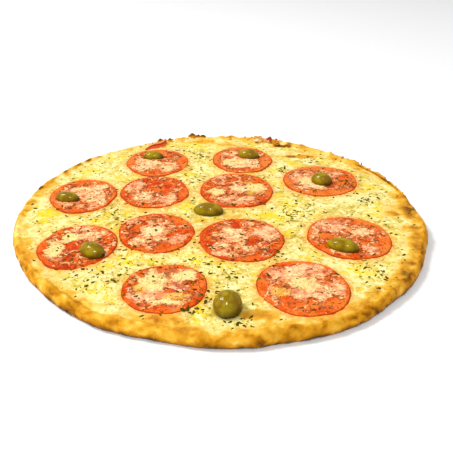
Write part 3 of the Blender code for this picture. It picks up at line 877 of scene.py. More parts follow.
class StageSettings(bpy.types.PropertyGroup):
    """The floor and the light"""

    floor: FloatProperty(
        name="Floor", description="How light the floor is", default=0.94, min=0, max=1, subtype="FACTOR"
    )
    sky: amount("Fill", "Strength of the soft light from all sides", 0.5)
    key: amount("Key", "Power of the large light", 43.0, "POWER")
    front: amount("Front", "Power of the front light", 24.0, "POWER")


class PizzaSettings(bpy.types.PropertyGroup):
    """All settings of the pizza"""

    dough: PointerProperty(type=DoughSettings, name="Dough")
    cheese: PointerProperty(type=CheeseSettings, name="Cheese")
    tomato: PointerProperty(type=TomatoSettings, name="Tomato")
    olive: PointerProperty(type=OliveSettings, name="Olives")
    herbs: PointerProperty(type=HerbSettings, name="Herbs and shreds")
    stage: PointerProperty(type=StageSettings, name="Stage")


# ---- Finishes ------------------------------------------------------------------------------------------


class Finish:
    """A material's node tree. Its methods add nodes and give what comes out of them."""

    def __init__(self, name, roughness, soften=0.0, sheen=0.08):
        self.made = bpy.data.materials.new(name)
        self.made.use_nodes = True
        self.tree = self.made.node_tree
        self.shader = self.tree.nodes["Principled BSDF"]
        self.shader.inputs["Roughness"].default_value = roughness
        self.shader.inputs["Specular IOR Level"].default_value = sheen
        if soften:
            self.shader.inputs["Subsurface Weight"].default_value = soften
            self.shader.inputs["Subsurface Radius"].default_value = (1.0, 0.5, 0.25)
            self.shader.inputs["Subsurface Scale"].default_value = 2.0 * MM
        self.place = self.tree.nodes.new("ShaderNodeTexCoord").outputs["Object"]

    def feed(self, socket, value):
        """Set a socket to a number or colour, or link it to another node's output."""
        if isinstance(value, bpy.types.NodeSocket):
            self.tree.links.new(value, socket)
        elif hasattr(value, "__len__") and len(value) == 3 and socket.type == "RGBA":
            socket.default_value = (*value, 1)
        else:
            socket.default_value = value

    def node(self, kind, **inputs):
        """A new node of this kind, with each named input fed; _ stands for a space in a name."""
        node = self.tree.nodes.new("ShaderNode" + kind)
        for name, value in inputs.items():
            self.feed(node.inputs[name.replace("_", " ")], value)
        return node

    def mark(self, name):
        node = self.node("Attribute")
        node.attribute_name = name
        return node.outputs["Fac"]

    def noise(self, size, detail=3.0, rough=0.5, distortion=0.0):
        shape = {"Scale": 1 / size, "Detail": detail, "Roughness": rough, "Distortion": distortion}
        return self.node("TexNoise", Vector=self.place, **shape).outputs["Fac"]

    def cells(self, size, feature="F1", place=None):
        """Separate cells, whose outputs are a colour for each and the distance to its middle or its edge."""
        node = self.node("TexVoronoi", Vector=place or self.place, Scale=1 / size)
        node.feature = feature
        return node.outputs

    def chunks(self, size, stretch, turn):
        """Torn chunks drawn out in one direction: a random number for each, and 1 in the gaps."""
        drawn = self.node("Mapping", Vector=self.place, Rotation=(0, 0, turn), Scale=(stretch, 1, 1))
        drawn.vector_type = "TEXTURE"
        torn = self.node("VectorMath")
        torn.operation = "MULTIPLY_ADD"
        unevenness = self.noise(size * 1.3, 3, 0.5).node.outputs["Color"]
        for socket, value in zip(torn.inputs, (unevenness, (size, size, size), drawn.outputs["Vector"])):
            self.feed(socket, value)
        place = torn.outputs["Vector"]
        edge = self.cells(size, "DISTANCE_TO_EDGE", place)["Distance"]
        return self.cells(size, "F1", place)["Color"], self.between(edge, 0.10, 0.02)

    def between(self, value, low, high, least=0.0, most=1.0):
        """A smooth step from least at low to most at high."""
        node = self.node("MapRange", Value=value, From_Min=low, From_Max=high, To_Min=least, To_Max=most)
        node.interpolation_type = "SMOOTHSTEP"
        return node.outputs["Result"]

    def maths(self, operation, *values):
        node = self.node("Math")
        node.operation = operation
        for socket, value in zip(node.inputs, values):
            self.feed(socket, value)
        return node.outputs["Value"]

    def times(self, first, second):
        return self.maths("MULTIPLY", first, second)

    def plus(self, base, share, value, middle=0.0):
        """The base and a share of a value, which counts from its middle."""
        if middle:
            value = self.maths("SUBTRACT", value, middle)
        return self.maths("MULTIPLY_ADD", value, share, base)

    def blend(self, share, first, second):
        """A mix of two colours, whose sockets go by number because several kinds share their names."""
        node = self.node("Mix")
        node.data_type = "RGBA"
        for socket, value in ((0, share), (6, first), (7, second)):
            self.feed(node.inputs[socket], value)
        return node.outputs[2]

    def ramp(self, value, *stops):
        """The colour at a value between stops, each with its place and its colour."""
        node = self.node("ValToRGB", Fac=value)
        elements = node.color_ramp.elements
        elements.remove(elements[1])
        for number, (place, shade) in enumerate(stops):
            element = elements[0] if number == 0 else elements.new(place)
            element.position = place
            element.color = (*shade, 1)
        return node.outputs["Color"]

    def finish(self, base, roughness=None, relief=None, depth=0.3 * MM):
        """Link the base colour, and if given the roughness and a bump of this depth."""
        self.feed(self.shader.inputs["Base Color"], base)
        if roughness is not None:
            self.feed(self.shader.inputs["Roughness"], roughness)
        if relief is not None:
            bump = self.node("Bump", Distance=depth, Height=relief)
            self.feed(self.shader.inputs["Normal"], bump.outputs["Normal"])
        return self.made


def toasted_colour(finish, level, dough):
    """The colour of cheese or dough at a level of toasting."""
    return finish.ramp(
        level,
        (0.12, dough.straw),
        (0.36, dough.gold),
        (0.60, dough.amber),
        (0.82, dough.brown),
        (1.0, dough.burnt),
    )


def fine_toast(finish, depth):
    """The toast mark with patches and fine unevenness added."""
    level = finish.plus(finish.mark("toast"), 0.9 * depth, finish.noise(9 * MM, 4, 0.55, 0.6), 0.5)
    return finish.plus(level, 0.14 * depth, finish.noise(1.7 * MM, 3, 0.6), 0.5)


def dough_finish(dough):
    finish = Finish("Baked dough", 0.62)
    level = fine_toast(finish, 0.78)
    flour = finish.times(finish.mark("flour"), finish.noise(7 * MM, 4, 0.65))
    base = finish.blend(flour, toasted_colour(finish, level, dough), dough.underside)
    grain = finish.maths("ADD", finish.noise(1.3 * MM, 4, 0.6), finish.noise(4 * MM, 3))
    return finish.finish(base, finish.between(level, 0.2, 0.8, 0.5, 0.68), grain, 0.25 * MM)


def cheese_finish(cheese, dough):
    """Cream cheese with greenish painted shade in its hollows, oily yellow patches, toasted patches, and
    specks and stains.
    """
    finish = Finish("Melted cheese", 0.4, sheen=0.15)
    patch = finish.noise(6.5 * MM, 3.5, 0.5, 1.5)
    tone = finish.plus(patch, 0.14, finish.noise(1.8 * MM, 3, 0.55), 0.5)
    tone = finish.plus(tone, 0.14, finish.mark("pale"))
    # Where the noise that also sinks the bump is low, the cheese is painted greenish, then olive-brown, as
    # shade in its hollows.
    base = finish.ramp(
        tone,
        (0.32, cheese.stain_and_shade),
        (0.42, cheese.dull_hollow_shade),
        (0.50, cheese.cream),
        (0.62, cheese.pale),
    )
    yellow = finish.times(finish.mark("yellow"), finish.between(patch, 0.62, 0.42, 0.15, 1.0))
    base = finish.blend(yellow, base, cheese.yellow)
    level = fine_toast(finish, 0.8)
    base = finish.blend(finish.between(level, 0.06, 0.2), base, toasted_colour(finish, level, dough))
    juice = finish.times(finish.mark("juice"), finish.between(finish.noise(3 * MM), 0.3, 0.6, 0.3, 1.0))
    base = finish.blend(juice, base, cheese.juice)
    speck = finish.between(finish.noise(1.5 * MM, 3, 0.55), 0.56, 0.66)
    speck = finish.times(speck, finish.between(finish.noise(9 * MM, 3), 0.4, 0.62, 0.1, 0.9))
    base = finish.blend(speck, base, cheese.stain_and_shade)
    base = finish.blend(finish.times(finish.mark("stain_and_shade"), 0.8), base, cheese.stain_and_shade)
    grain = finish.plus(patch, 0.5, finish.noise(0.9 * MM, 4, 0.6))
    return finish.finish(base, finish.between(yellow, 0.2, 0.8, 0.44, 0.3), grain, 0.32 * MM)


def flesh_colour(finish, tomato):
    """Tomato flesh in streaks from red to pale orange."""
    streak = finish.times(finish.noise(2.2 * MM, 3, 0.6, 1.0), 0.6)
    shade = finish.plus(streak, 0.6, finish.noise(9 * MM, 3))
    shade = finish.plus(shade, -0.12, finish.mark("red"))
    return finish.ramp(shade, (0.45, tomato.red), (0.57, tomato.orange), (0.73, tomato.peach))


def covering_colour(finish, shade, tomato):
    """Cheese over a slice, from the painted shade in its gaps to its palest chunks, with pink, yellow and
    cream patches.
    """
    cheese = finish.ramp(
        finish.maths("SUBTRACT", shade, 0.06),
        (0.33, tomato.gap),
        (0.42, tomato.rust),
        (0.53, tomato.inner),
        (0.62, tomato.blush),
        (0.74, tomato.cover),
    )
    cheese = finish.blend(finish.times(finish.mark("blush"), 0.5), cheese, tomato.pink)
    cheese = finish.blend(finish.times(finish.mark("yellow"), 0.75), cheese, tomato.yellow)
    cream = finish.times(finish.mark("cream"), finish.between(shade, 0.3, 0.5, 0.1, 0.85))
    return finish.blend(cream, cheese, tomato.cream)


def tomato_finish(tomato):
    """Bare flesh at the ring and in patches, cheese elsewhere with painted shade in its gaps, dark specks and
    the skin at the edge.
    """
    finish = Finish("Tomato slice", 0.32, soften=0.1, sheen=0.06)
    swirl = finish.noise(4.6 * MM, 3, 0.5, 1.8)
    fine = finish.noise(1.3 * MM, 3, 0.55, 0.5)
    chunk, gap = finish.chunks(3.9 * MM, 1.7, 0.35)
    chunk = finish.maths("SUBTRACT", chunk, 0.5)
    gap = finish.times(gap, finish.between(finish.noise(8 * MM, 3), 0.4, 0.6, 0.25, 1.0))
    shade = finish.plus(swirl, 0.15, fine, 0.5)
    shade = finish.plus(shade, 0.4, chunk)
    # The gaps between the chunks are painted dark, as shade in them; the bump sinks them too.
    shade = finish.plus(shade, -0.16, gap)
    shade = finish.plus(shade, 0.28, finish.mark("tone"))
    # The brown mark darkens it too: brown patches, partly painted shade, and painted shade around each olive.
    shade = finish.plus(shade, -0.25, finish.mark("brown"))
    wander = finish.plus(finish.mark("cover"), 1.2, swirl, 0.5)
    cover = finish.between(finish.plus(wander, 0.7, chunk), 0.42, 0.62)
    base = finish.blend(cover, flesh_colour(finish, tomato), covering_colour(finish, shade, tomato))
    base = finish.blend(finish.between(finish.noise(1.5 * MM, 2), 0.62, 0.68, 0.0, 0.7), base, tomato.gap)
    skin = finish.between(finish.mark("edge"), 1.8 * MM, 0.6 * MM, 0.0, 0.85)
    base = finish.blend(skin, base, tomato.skin)
    grain = finish.plus(finish.maths("ADD", fine, swirl), -0.6, gap)
    return finish.finish(base, finish.between(cover, 0, 1, 0.28, 0.44), grain, 0.35 * MM)


def olive_finish(olive):
    finish = Finish("Green olive", 0.16, soften=0.05, sheen=0.22)
    patch = finish.between(finish.noise(7 * MM, 3, 0.5, 0.4), 0.36, 0.66)
    base = finish.blend(patch, olive.green, olive.brown)
    dots = finish.between(finish.cells(0.9 * MM)["Distance"], 0.16, 0.05, 0.0, 0.35)
    base = finish.blend(dots, base, [min(1.0, channel * 2.2) for channel in olive.green])
    # The stalk scar, and the painted shade on the lower side and right, take the scar colour.
    for name in ("low", "scar"):
        base = finish.blend(finish.mark(name), base, olive.scar)
    gloss = finish.between(finish.noise(2 * MM), 0.3, 0.7, 0.08, 0.16)
    return finish.finish(base, gloss, finish.noise(1.6 * MM, 3), 0.06 * MM)


def skin_finish(tomato):
    """Skin of tomato on its edge: flushed below, red above, and a painted highlight in pale pink along its
    top.
    """
    finish = Finish("Tomato skin", 0.3, soften=0.1)
    top = finish.mark("top")
    base = finish.blend(finish.between(finish.noise(2 * MM, 3), 0.4, 0.7), tomato.flushed, tomato.peach)
    base = finish.blend(finish.between(top, 0.45, 0.6), base, tomato.red)
    # A painted highlight, pale pink, along the top of the strip.
    base = finish.blend(finish.between(top, 0.7, 0.85, 0.0, 0.9), base, tomato.blush)
    base = finish.blend(finish.between(finish.noise(1.6 * MM, 2), 0.66, 0.76, 0.0, 0.8), base, tomato.gap)
    return finish.finish(base, relief=finish.noise(1.2 * MM, 3))


def baked_finish(name, light, dark, share):
    """A lump that is darker at its top, where it baked most."""
    finish = Finish(name, 0.5, soften=0.1)
    level = finish.plus(finish.mark("up"), 0.9, finish.noise(2.6 * MM, 4, 0.6))
    mask = finish.between(level, share + 0.3, share + 0.6)
    return finish.finish(finish.blend(mask, light, dark), relief=finish.noise(1 * MM, 3))


def crag_finish(dough):
    finish = Finish("Burnt crags", 0.6)
    level = finish.plus(finish.mark("toast"), 0.3, finish.noise(1.5 * MM, 3))
    return finish.finish(toasted_colour(finish, level, dough), relief=finish.noise(0.8 * MM, 3))


def herb_finish(herbs):
    finish = Finish("Dried herbs", 0.8, sheen=0.0)
    base = finish.blend(finish.mark("shade"), herbs.dark, herbs.olive)
    base = finish.blend(finish.between(finish.noise(0.5 * MM, 2), 0.4, 0.7, 0.0, 0.4), base, herbs.olive)
    return finish.finish(base)


def crumb_finish(tomato, dough):
    finish = Finish("Rim crumbs", 0.6)
    stops = ((0.0, dough.gold), (0.5, dough.amber), (0.8, dough.brown), (1.0, tomato.blush))
    return finish.finish(finish.ramp(finish.mark("shade"), *stops))


def shred_finish(tomato):
    finish = Finish("Cheese shreds", 0.42, soften=0.15)
    base = finish.blend(finish.mark("shade"), tomato.cover, tomato.pink)
    base = finish.blend(finish.between(finish.noise(1.4 * MM, 3), 0.5, 0.7, 0.0, 0.6), base, tomato.inner)
    return finish.finish(base, relief=finish.noise(0.8 * MM, 2), depth=0.2 * MM)


# ---- Modelling helpers ---------------------------------------------------------------------------------


def add_to_scene(name, data):
    """A new object of the scene that holds this mesh, light or camera."""
    made = bpy.data.objects.new(name, data)
    bpy.context.scene.collection.objects.link(made)
    return made


def as_mesh(name, bm, finish):
    """A mesh with this finish, made from a bmesh, which is freed."""
    mesh = bpy.data.meshes.new(name)
    bm.to_mesh(mesh)
    bm.free()
    mesh.materials.append(finish)
    return mesh


def add_piece(name, bm, finish, nodes=()):
    """Make a bmesh a smooth piece that rides on the pizza and stands for these nodes."""
    bmesh.ops.recalc_face_normals(bm, faces=bm.faces)
    piece = add_to_scene(name, as_mesh(name, bm, finish))
    piece.data.shade_smooth()
    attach(piece, "root")
    if nodes:
        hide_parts(*nodes)
    return piece


def disc(cells):
    """A disc of radius 1 made from a square grid, whose corners are drawn in to the circle."""
    bm = bmesh.new()
    bmesh.ops.create_grid(bm, x_segments=cells, y_segments=cells, size=1)
    for vert in bm.verts:
        x, y = vert.co.xy
        vert.co.x = x * math.sqrt(1 - y * y / 2)
        vert.co.y = y * math.sqrt(1 - x * x / 2)
    return bm


def draw_on(bm, edges, place):
    """Extrude a loop of edges to where place() puts its corners, and give the new loop."""
    made = bmesh.ops.extrude_edge_only(bm, edges=edges)["geom"]
    for vert in made:
        if isinstance(vert, bmesh.types.BMVert):
            vert.co = place(vert.co)
    return [edge for edge in made if isinstance(edge, bmesh.types.BMEdge) and edge.is_boundary]


def close(bm, edges):
    bmesh.ops.edgeloop_fill(bm, edges=edges)


def lump(size, seed, roughness, turn=0.0, swell=0.35):
    """An uneven lump with its foot at Z = 0, as in the solids, with finer unevenness added."""
    bm = bmesh.new()
    bmesh.ops.create_icosphere(bm, subdivisions=4, radius=1)
    shift = Vector((seed * 3.7, 0, 0))
    for vert in bm.verts:
        fine = uneven(*vert.co, 0.35, seed) * roughness
        vert.co *= 1 + swell * noise.noise(vert.co * 1.3 + shift) + fine
    bmesh.ops.scale(bm, vec=[side / 2 for side in size], verts=bm.verts)
    bmesh.ops.rotate(bm, matrix=Matrix.Rotation(turn, 3, "Z"), verts=bm.verts)
    bmesh.ops.translate(bm, vec=(0, 0, -min(v.co.z for v in bm.verts)), verts=bm.verts)
    return bm


def gathered(parts):
    """One bmesh of all these, which are freed."""
    whole = bmesh.new()
    holder = bpy.data.meshes.new("part")
    for part in parts:
        part.to_mesh(holder)
        part.free()
        whole.from_mesh(holder)
    bpy.data.meshes.remove(holder)
    return whole


def copies(pattern, placed):
    """A copy of a small bmesh for each matrix and shade, which becomes its mark. The pattern is freed."""
    mark = pattern.verts.layers.float.new("shade")
    for matrix, shade in placed:
        for vert in pattern.verts:
            vert[mark] = shade
        part = pattern.copy()
        part.transform(matrix)
        yield part
    pattern.free()


def grain_pattern(subdivisions, draw, jitter):
    """A small sphere whose corners are shifted in or out at random."""
    pattern = bmesh.new()
    bmesh.ops.create_icosphere(pattern, subdivisions=subdivisions, radius=1)
    for vert in pattern.verts:
        vert.co *= draw.uniform(*jitter)
    return pattern


class Surface:
    """The upper side of some pieces, to lay small things on."""

    def __init__(self, *names):
        graph = bpy.context.evaluated_depsgraph_get()
        self.trees = [BVHTree.FromObject(bpy.data.objects[name], graph) for name in names]

    def under(self, x, y):
        """The highest point here and its normal, or None beside the pieces."""
        hits = [tree.ray_cast(Vector((x, y, 0.1)), Vector((0, 0, -1))) for tree in self.trees]
        hits = [(hit[0], hit[1]) for hit in hits if hit[0] is not None]
        return max(hits, key=lambda hit: hit[0].z) if hits else None


def lying(place, normal, turn, tilt, size):
    """A matrix that lays a small thing on a surface, scaled to its size."""
    upright = Vector((0, 0, 1)).rotation_difference(normal).to_matrix().to_4x4()
    turned = Matrix.Rotation(turn, 4, "Z") @ Matrix.Rotation(tilt, 4, "Y")
    return Matrix.Translation(place) @ upright @ turned @ Matrix.Diagonal((*size, 1))


# ---- The dough -----------------------------------------------------------------------------------------


def rim_profile(count):
    """Points along a smooth curve through DOUGH_PROFILE: inset and height."""
    stations = [Vector(station) for station in DOUGH_PROFILE]
    stations = [stations[0]] + stations + [stations[-1]]
    points = []
    for k in range(count):
        place = k / (count - 1) * (len(stations) - 3)
        start = min(int(place), len(stations) - 4)
        points.append(curve(*stations[start:start + 4], place - start))
    return points


def dough_lumps(place, lumps):
    """Unevenness of the rim: broad swells, knobs and fine wrinkles."""
    return sum(uneven(*place, size, seed) * share for size, seed, share in RIM_LUMPS) * lumps


def make_dough(dough):
    """The rim's profile spun around the middle, then bent to the outline, lifted and roughened."""
    bm = bmesh.new()
    profile = rim_profile(CRUST_PROFILE_POINTS)
    verts = [bm.verts.new((DOUGH_RADIUS - inset, 0, height)) for inset, height in profile]
    edges = [bm.edges.new(pair) for pair in zip(verts, verts[1:])]
    turn = {"axis": (0, 0, 1), "cent": (0, 0, 0), "angle": 2 * math.pi, "steps": CRUST_STEPS}
    bmesh.ops.spin(bm, geom=verts + edges, use_merge=True, **turn)
    toast_mark = bm.verts.layers.float.new("toast")
    flour_mark = bm.verts.layers.float.new("flour")
    bubbles = rim_bubbles(dough.bubbles)
    insets = {}
    for vert in bm.verts:
        angle = math.atan2(vert.co.y, vert.co.x)
        inset = DOUGH_RADIUS - vert.co.xy.length
        height = vert.co.z
        on_crest = smooth(PAN_TOP, RIM_TOP, height) * smooth(*CREST_INSETS, inset)
        inset += uneven(math.cos(angle), math.sin(angle), 0, 0.16, 13) * CREST_SHIFT * on_crest
        insets[vert] = inset
        above = smooth(*WALL_TURN, height)
        at_back = smooth(0.0, 1.0, math.sin(angle))
        rise = rise_share(inset, height) * (rim_rise(angle) + BACK_LUMPS_RISE * at_back)
        vert.co = at_inset(angle, inset, height + rise)
        ragged = above * smooth(*RAGGED_INSETS, inset)
        ragged *= math.exp(-((angle - RAGGED_ANGLE) / RAGGED_SPREAD) ** 2)
        if ragged > 0.01:
            out = ragged * RAGGED_REACH * (0.5 + uneven(*vert.co, 6 * MM, 51))
            vert.co += Vector((math.cos(angle), math.sin(angle), RAGGED_RISE)) * max(0.0, out)
        lift, top = bubble_height(vert.co.x, vert.co.y, bubbles) if above else (0.0, 0.0)
        down_the_wall = max(0.0, RIM_TOP - height) * smooth(*WALL_INSETS, inset)
        unrolled = at_inset(angle, inset - down_the_wall, 0)
        # The foot of the wall is painted darker through its toast mark, as shade low on the wall.
        painted_foot_shade = WALL_PAINTED_SHADE * smooth(*WALL_PAINTED_SHADE_HEIGHTS, height)
        vert[toast_mark] = toast(unrolled.x, unrolled.y, top * above) + painted_foot_shade
        vert[flour_mark] = smooth(*FLOUR_HEIGHTS, height)
        vert.co.z += lift * above * smooth(*BUBBLED_INSETS, inset)
    bm.normal_update()
    for vert in bm.verts:
        free = smooth(*LUMPY_HEIGHTS, vert.co.z) * smooth(*LUMPY_INSETS, insets[vert])
        if free:
            vert.co += vert.normal * dough_lumps(vert.co, dough.lumps) * free
    close(bm, [edge for edge in bm.edges if edge.is_boundary])
    return bm


# ---- The cheese ----------------------------------------------------------------------------------------


def cheese_level(x, y, cheese):
    """Upper side of the cheese away from its edge, the toppings and the bubbles."""
    level = CHEESE_TOP + noise.noise(Vector((x, y, 0)) / CHEESE_WAVE_LENGTH) * CHEESE_WAVE * 2
    level += uneven(x, y, 0, LUMP_SIZE, 5) * cheese.lumps * LUMP_SHARE
    level += strings(x, y, STRING_SIZE, 8) * cheese.lumps * STRING_SHARE
    level += uneven(x, y, 0, GRAIN_SIZE, 9) * cheese.grain
    middle_x, middle_y, wide, deep = BLISTER
    away = math.hypot((x - middle_x) / wide, (y - middle_y) / deep)
    return level + BLISTER_HEIGHT * max(0.0, 1 - away**2)


def against_toppings(level, beside_slice, beside_olive):
    """The level where the cheese climbs against slices and olives, or dives under a slice."""
    climb, fade = SLICE_MENISCUS
    if beside_slice <= 0:
        return between(level + climb, SLICE_FOOT - SLICE_CLEARANCE, smooth(*SLICE_DIVE, beside_slice))
    level += climb * math.exp(-beside_slice / fade)
    climb, fade = OLIVE_MENISCUS
    if beside_olive > -OLIVE_OVERLAP:
        level += climb * math.exp(-max(beside_olive, 0.0) / fade)
    return level


def cheese_marks(x, y, bubble_top, beside_slice, beside_olive):
    """The marks of one place on the cheese."""
    broad = uneven(x, y, 0, 17 * MM, 11)
    # Painted shade on the cheese around the foot of each olive, off the slices.
    stain_and_shade = OLIVE_CONTACT_SHADE * math.exp(-max(beside_olive, 0.0) / OLIVE_CONTACT_SHADE_REACH) if beside_slice > 0 else 0.0
    return {
        "toast": toast(x, y, bubble_top),
        "yellow": min(1.0, smooth(0.05, 0.55, broad) * 0.75 + patchy(x, y, YELLOWED)),
        "pale": min(1.0, smooth(-0.1, -0.5, broad) * 0.7 + patchy(x, y, PALED)),
        "juice": math.exp(-max(beside_slice, 0.0) / JUICE_REACH),
        "stain_and_shade": min(1.0, stain_and_shade + patchy(x, y, STAINS_AND_SHADE)),
    }


def make_cheese(cheese, dough):
    """A disc over the pan and up the rim, with an edge that feathers out, closed below along the dough."""
    bm = disc(CHEESE_CELLS)
    layers = {name: bm.verts.layers.float.new(name) for name in CHEESE_MARKS}
    bubbles = rim_bubbles(dough.bubbles)
    crust = Surface("baked_crust")
    for vert in bm.verts:
        share = vert.co.xy.length
        angle = math.atan2(vert.co.y, vert.co.x)
        edge_inset = cheese_inset(angle)
        inset = edge_inset + (1 - share) * (dough_radius(angle) - edge_inset)
        edge = inset - edge_inset
        x, y = at_inset(angle, inset, 0).xy
        lift, bubble_top = bubble_height(x, y, bubbles) if inset < BUBBLED_CHEESE else (0.0, 0.0)
        level = cheese_level(x, y, cheese) + lift * BUBBLE_SHARE
        if edge < CHEESE_BLEND:
            ground = crust.under(x, y)[0].z + CHEESE_FILM_HEIGHT
            crest = RIM_TOP + rim_rise(angle)
            level = between(level, max(level, crest), smooth(CHEESE_BLEND, 0, edge))
            level = ground + max(0.0, level - ground) * smooth(0, 0.5 * CHEESE_BLEND, edge)
        beside_slice = min(outline.outside(x, y) for outline in SLICES.values())
        beside_olive = olive_distance(x, y)
        vert.co = (x, y, against_toppings(level, beside_slice, beside_olive))
        for name, value in cheese_marks(x, y, bubble_top, beside_slice, beside_olive).items():
            vert[layers[name]] = value
    loop = [edge for edge in bm.edges if edge.is_boundary]

    def feathered(co):
        angle, inset = inset_of(co.x, co.y)
        out = at_inset(angle, inset - FILM_EDGE, 0)
        out.z = crust.under(out.x, out.y)[0].z - FILM_DIP
        return out

    loop = draw_on(bm, loop, feathered)
    for fold in loop:
        fold.smooth = False
    for inset, gap in CHEESE_UNDERSIDE:
        def place(co, inset=inset, gap=gap):
            angle, _ = inset_of(co.x, co.y)
            return at_inset(angle, inset, dough_height(angle, inset) + gap)
        loop = draw_on(bm, loop, place)
    close(bm, loop)
    return bm


# ---- The tomato slices ---------------------------------------------------------------------------------


def seed_chambers(angle, share, number):
    """1 in the seed chambers of a slice and 0 in its walls and core."""
    draw = random.Random(number)
    count = draw.choice((5, 6, 7))
    start = draw.uniform(0, math.pi)
    across = abs(math.sin(count * (angle - start) / 2))
    return smooth(0.3, 0.62, across) * smooth(0.2, 0.34, share) * smooth(0.86, 0.76, share)


def slice_marks(number, x, y, edge):
    """The marks of one place on a slice, from its patches and noise, and how near it is to a string."""
    marks = dict.fromkeys(SLICE_MARKS, 0.0)
    outline = SLICES[number]
    place_x, place_y = wandering(x, y, SLICE_PATCH_WANDER)
    for kind, *patch in SLICE_PATCHES[number]:
        here = patchy(place_x - outline.x, place_y - outline.y, [(*patch, 1.0)])
        if here:
            for name, change in PATCH_MARKS[kind].items():
                marks[name] += change * here
    blotch = uneven(x, y, 0, 7 * MM, 21)
    string = strings(x, y, SLICE_STRING_SIZE, 23)
    inner_edge = edge + uneven(x, y, 0, 8 * MM, 24) * RING_WANDER
    on_ring = smooth(RING_WIDTH + RING_SOFTNESS, RING_WIDTH - RING_SOFTNESS, inner_edge)
    marks["edge"] = edge
    marks["tone"] = clamp(marks["cover"] + 0.5 * blotch, -1.0)
    raw = 0.7 * marks["cover"] + 0.5 * blotch + 0.3 * (string - 0.42) + 0.25 - 0.9 * on_ring
    marks["cover"] = clamp(0.5 + raw, -0.4)
    marks["brown"] = clamp(marks["brown"])
    marks["blush"] = clamp(marks["blush"] * 0.7 + 0.9 * uneven(x, y, 0, 5 * MM, 27) + 0.15)
    marks["yellow"] = clamp(marks["yellow"])
    marks["cream"] = clamp(marks["cream"] + 0.6 * blotch * marks["cream"])
    marks["red"] += SLICE_REDNESS[number]
    return marks, string


def slice_level(edge):
    """The top of a slice this far inside its outline: a rounded edge, a raised ring and a lower middle."""
    rounding = 1 - min(edge / SLICE_ROUNDING, 1.0)
    level = SLICE_TOP - SLICE_SHOULDER * (1 - math.sqrt(1 - rounding**2))
    level -= SLICE_SAG * smooth(*SLICE_SAG_INSETS, edge)
    return level + SLICE_RING_RISE * smooth(*SLICE_RING_OUTSIDE, edge) * smooth(*SLICE_RING_INSIDE, edge)


def make_slice(number, tomato):
    """One slice: a disc over the outline of its solid, with a rounded edge, seed chambers and cheese."""
    outline = SLICES[number]
    near = [olive for olive in OLIVES.values() if outline.outside(olive.middle.x, olive.middle.y) < 0]
    bm = disc(SLICE_CELLS)
    layers = {name: bm.verts.layers.float.new(name) for name in SLICE_MARKS}
    for vert in bm.verts:
        share = vert.co.xy.length
        angle = math.atan2(vert.co.y, vert.co.x)
        reach = outline.reach(angle)
        edge = max(0.0, (1 - share) * reach)
        x, y = outline.spot(angle, share * reach)
        marks, string = slice_marks(number, x, y, edge)
        covered = smooth(0.4, 0.75, marks["cover"])
        chamber = seed_chambers(angle + uneven(x, y, 0, 9 * MM, 26) * 0.3, share, number)
        height = slice_level(edge) - CHAMBER_DEPTH * chamber
        height += tomato.cover_height * covered * (0.6 + 0.5 * string)
        height += uneven(x, y, 0, SLICE_GRAIN_SIZE, 29, 2) * SLICE_GRAIN * smooth(0, 2 * MM, edge)
        for olive in near:
            away = olive.outside(x, y)
            height -= OLIVE_DENT * smooth(OLIVE_DENT_REACH, 0, away)
            # The slice is painted dark around each olive, as the olive's shadow on it.
            marks["brown"] = max(marks["brown"], OLIVE_SHADOW * smooth(OLIVE_SHADOW_REACH, 0.0, away))
        vert.co = (x, y, height)
        for name, value in marks.items():
            vert[layers[name]] = value
    loop = [edge for edge in bm.edges if edge.is_boundary]
    for beyond, height in ((0.0, SLICE_WIDEST), (-SLICE_UNDERCUT, SLICE_FOOT)):
        def place(co, beyond=beyond, height=height):
            angle = math.atan2(co.y - outline.y, co.x - outline.x)
            return Vector((*outline.spot(angle, outline.reach(angle) + beyond), height))
        loop = draw_on(bm, loop, place)
    close(bm, loop)
    return bm


# ---- The olives ----------------------------------------------------------------------------------------


def make_olive(number, settings):
    """One olive, with a stalk scar at one end and a small point at the other."""
    shape = OLIVES[number]
    around, along_axis = OLIVE_CELLS
    bm = bmesh.new()
    bmesh.ops.create_uvsphere(bm, u_segments=around, v_segments=along_axis, radius=1)
    scar_mark = bm.verts.layers.float.new("scar")
    painted_shade_mark = bm.verts.layers.float.new("low")
    for vert in bm.verts:
        along = vert.co.z
        slim = 1 - OLIVE_POINT * abs(along) ** 3
        wrinkle = uneven(*vert.co, 0.5, number + 40) * settings.wrinkles / shape.half_thickness
        vert.co.x *= slim + wrinkle
        vert.co.y *= slim + wrinkle
        from_axis = vert.co.xy.length
        if along > 0:
            vert.co.z -= SCAR_DEPTH * smooth(0.26, 0.0, from_axis)
            vert[scar_mark] = smooth(0.30, 0.14, from_axis)
        else:
            vert.co.z -= TIP_LENGTH * smooth(0.14, 0.0, from_axis)
    size = (shape.half_thickness, shape.half_thickness, shape.half_length)
    bmesh.ops.scale(bm, vec=size, verts=bm.verts)
    turn = Vector((0, 0, 1)).rotation_difference(shape.axis).to_matrix().to_4x4()
    bmesh.ops.transform(bm, matrix=Matrix.Translation(shape.middle) @ turn, verts=bm.verts)
    # The lower side and the right of each olive are painted dark, as shade away from the light at the upper
    # left.
    for vert in bm.verts:
        below = (shape.middle.z - vert.co.z) / shape.half_thickness
        rightward = (vert.co.x - shape.middle.x) / shape.half_length
        vert[painted_shade_mark] = OLIVE_PAINTED_SHADE * smooth(-0.6, 0.55, below + 0.3 * rightward)
    return bm


# ---- What lies on the back rim -------------------------------------------------------------------------


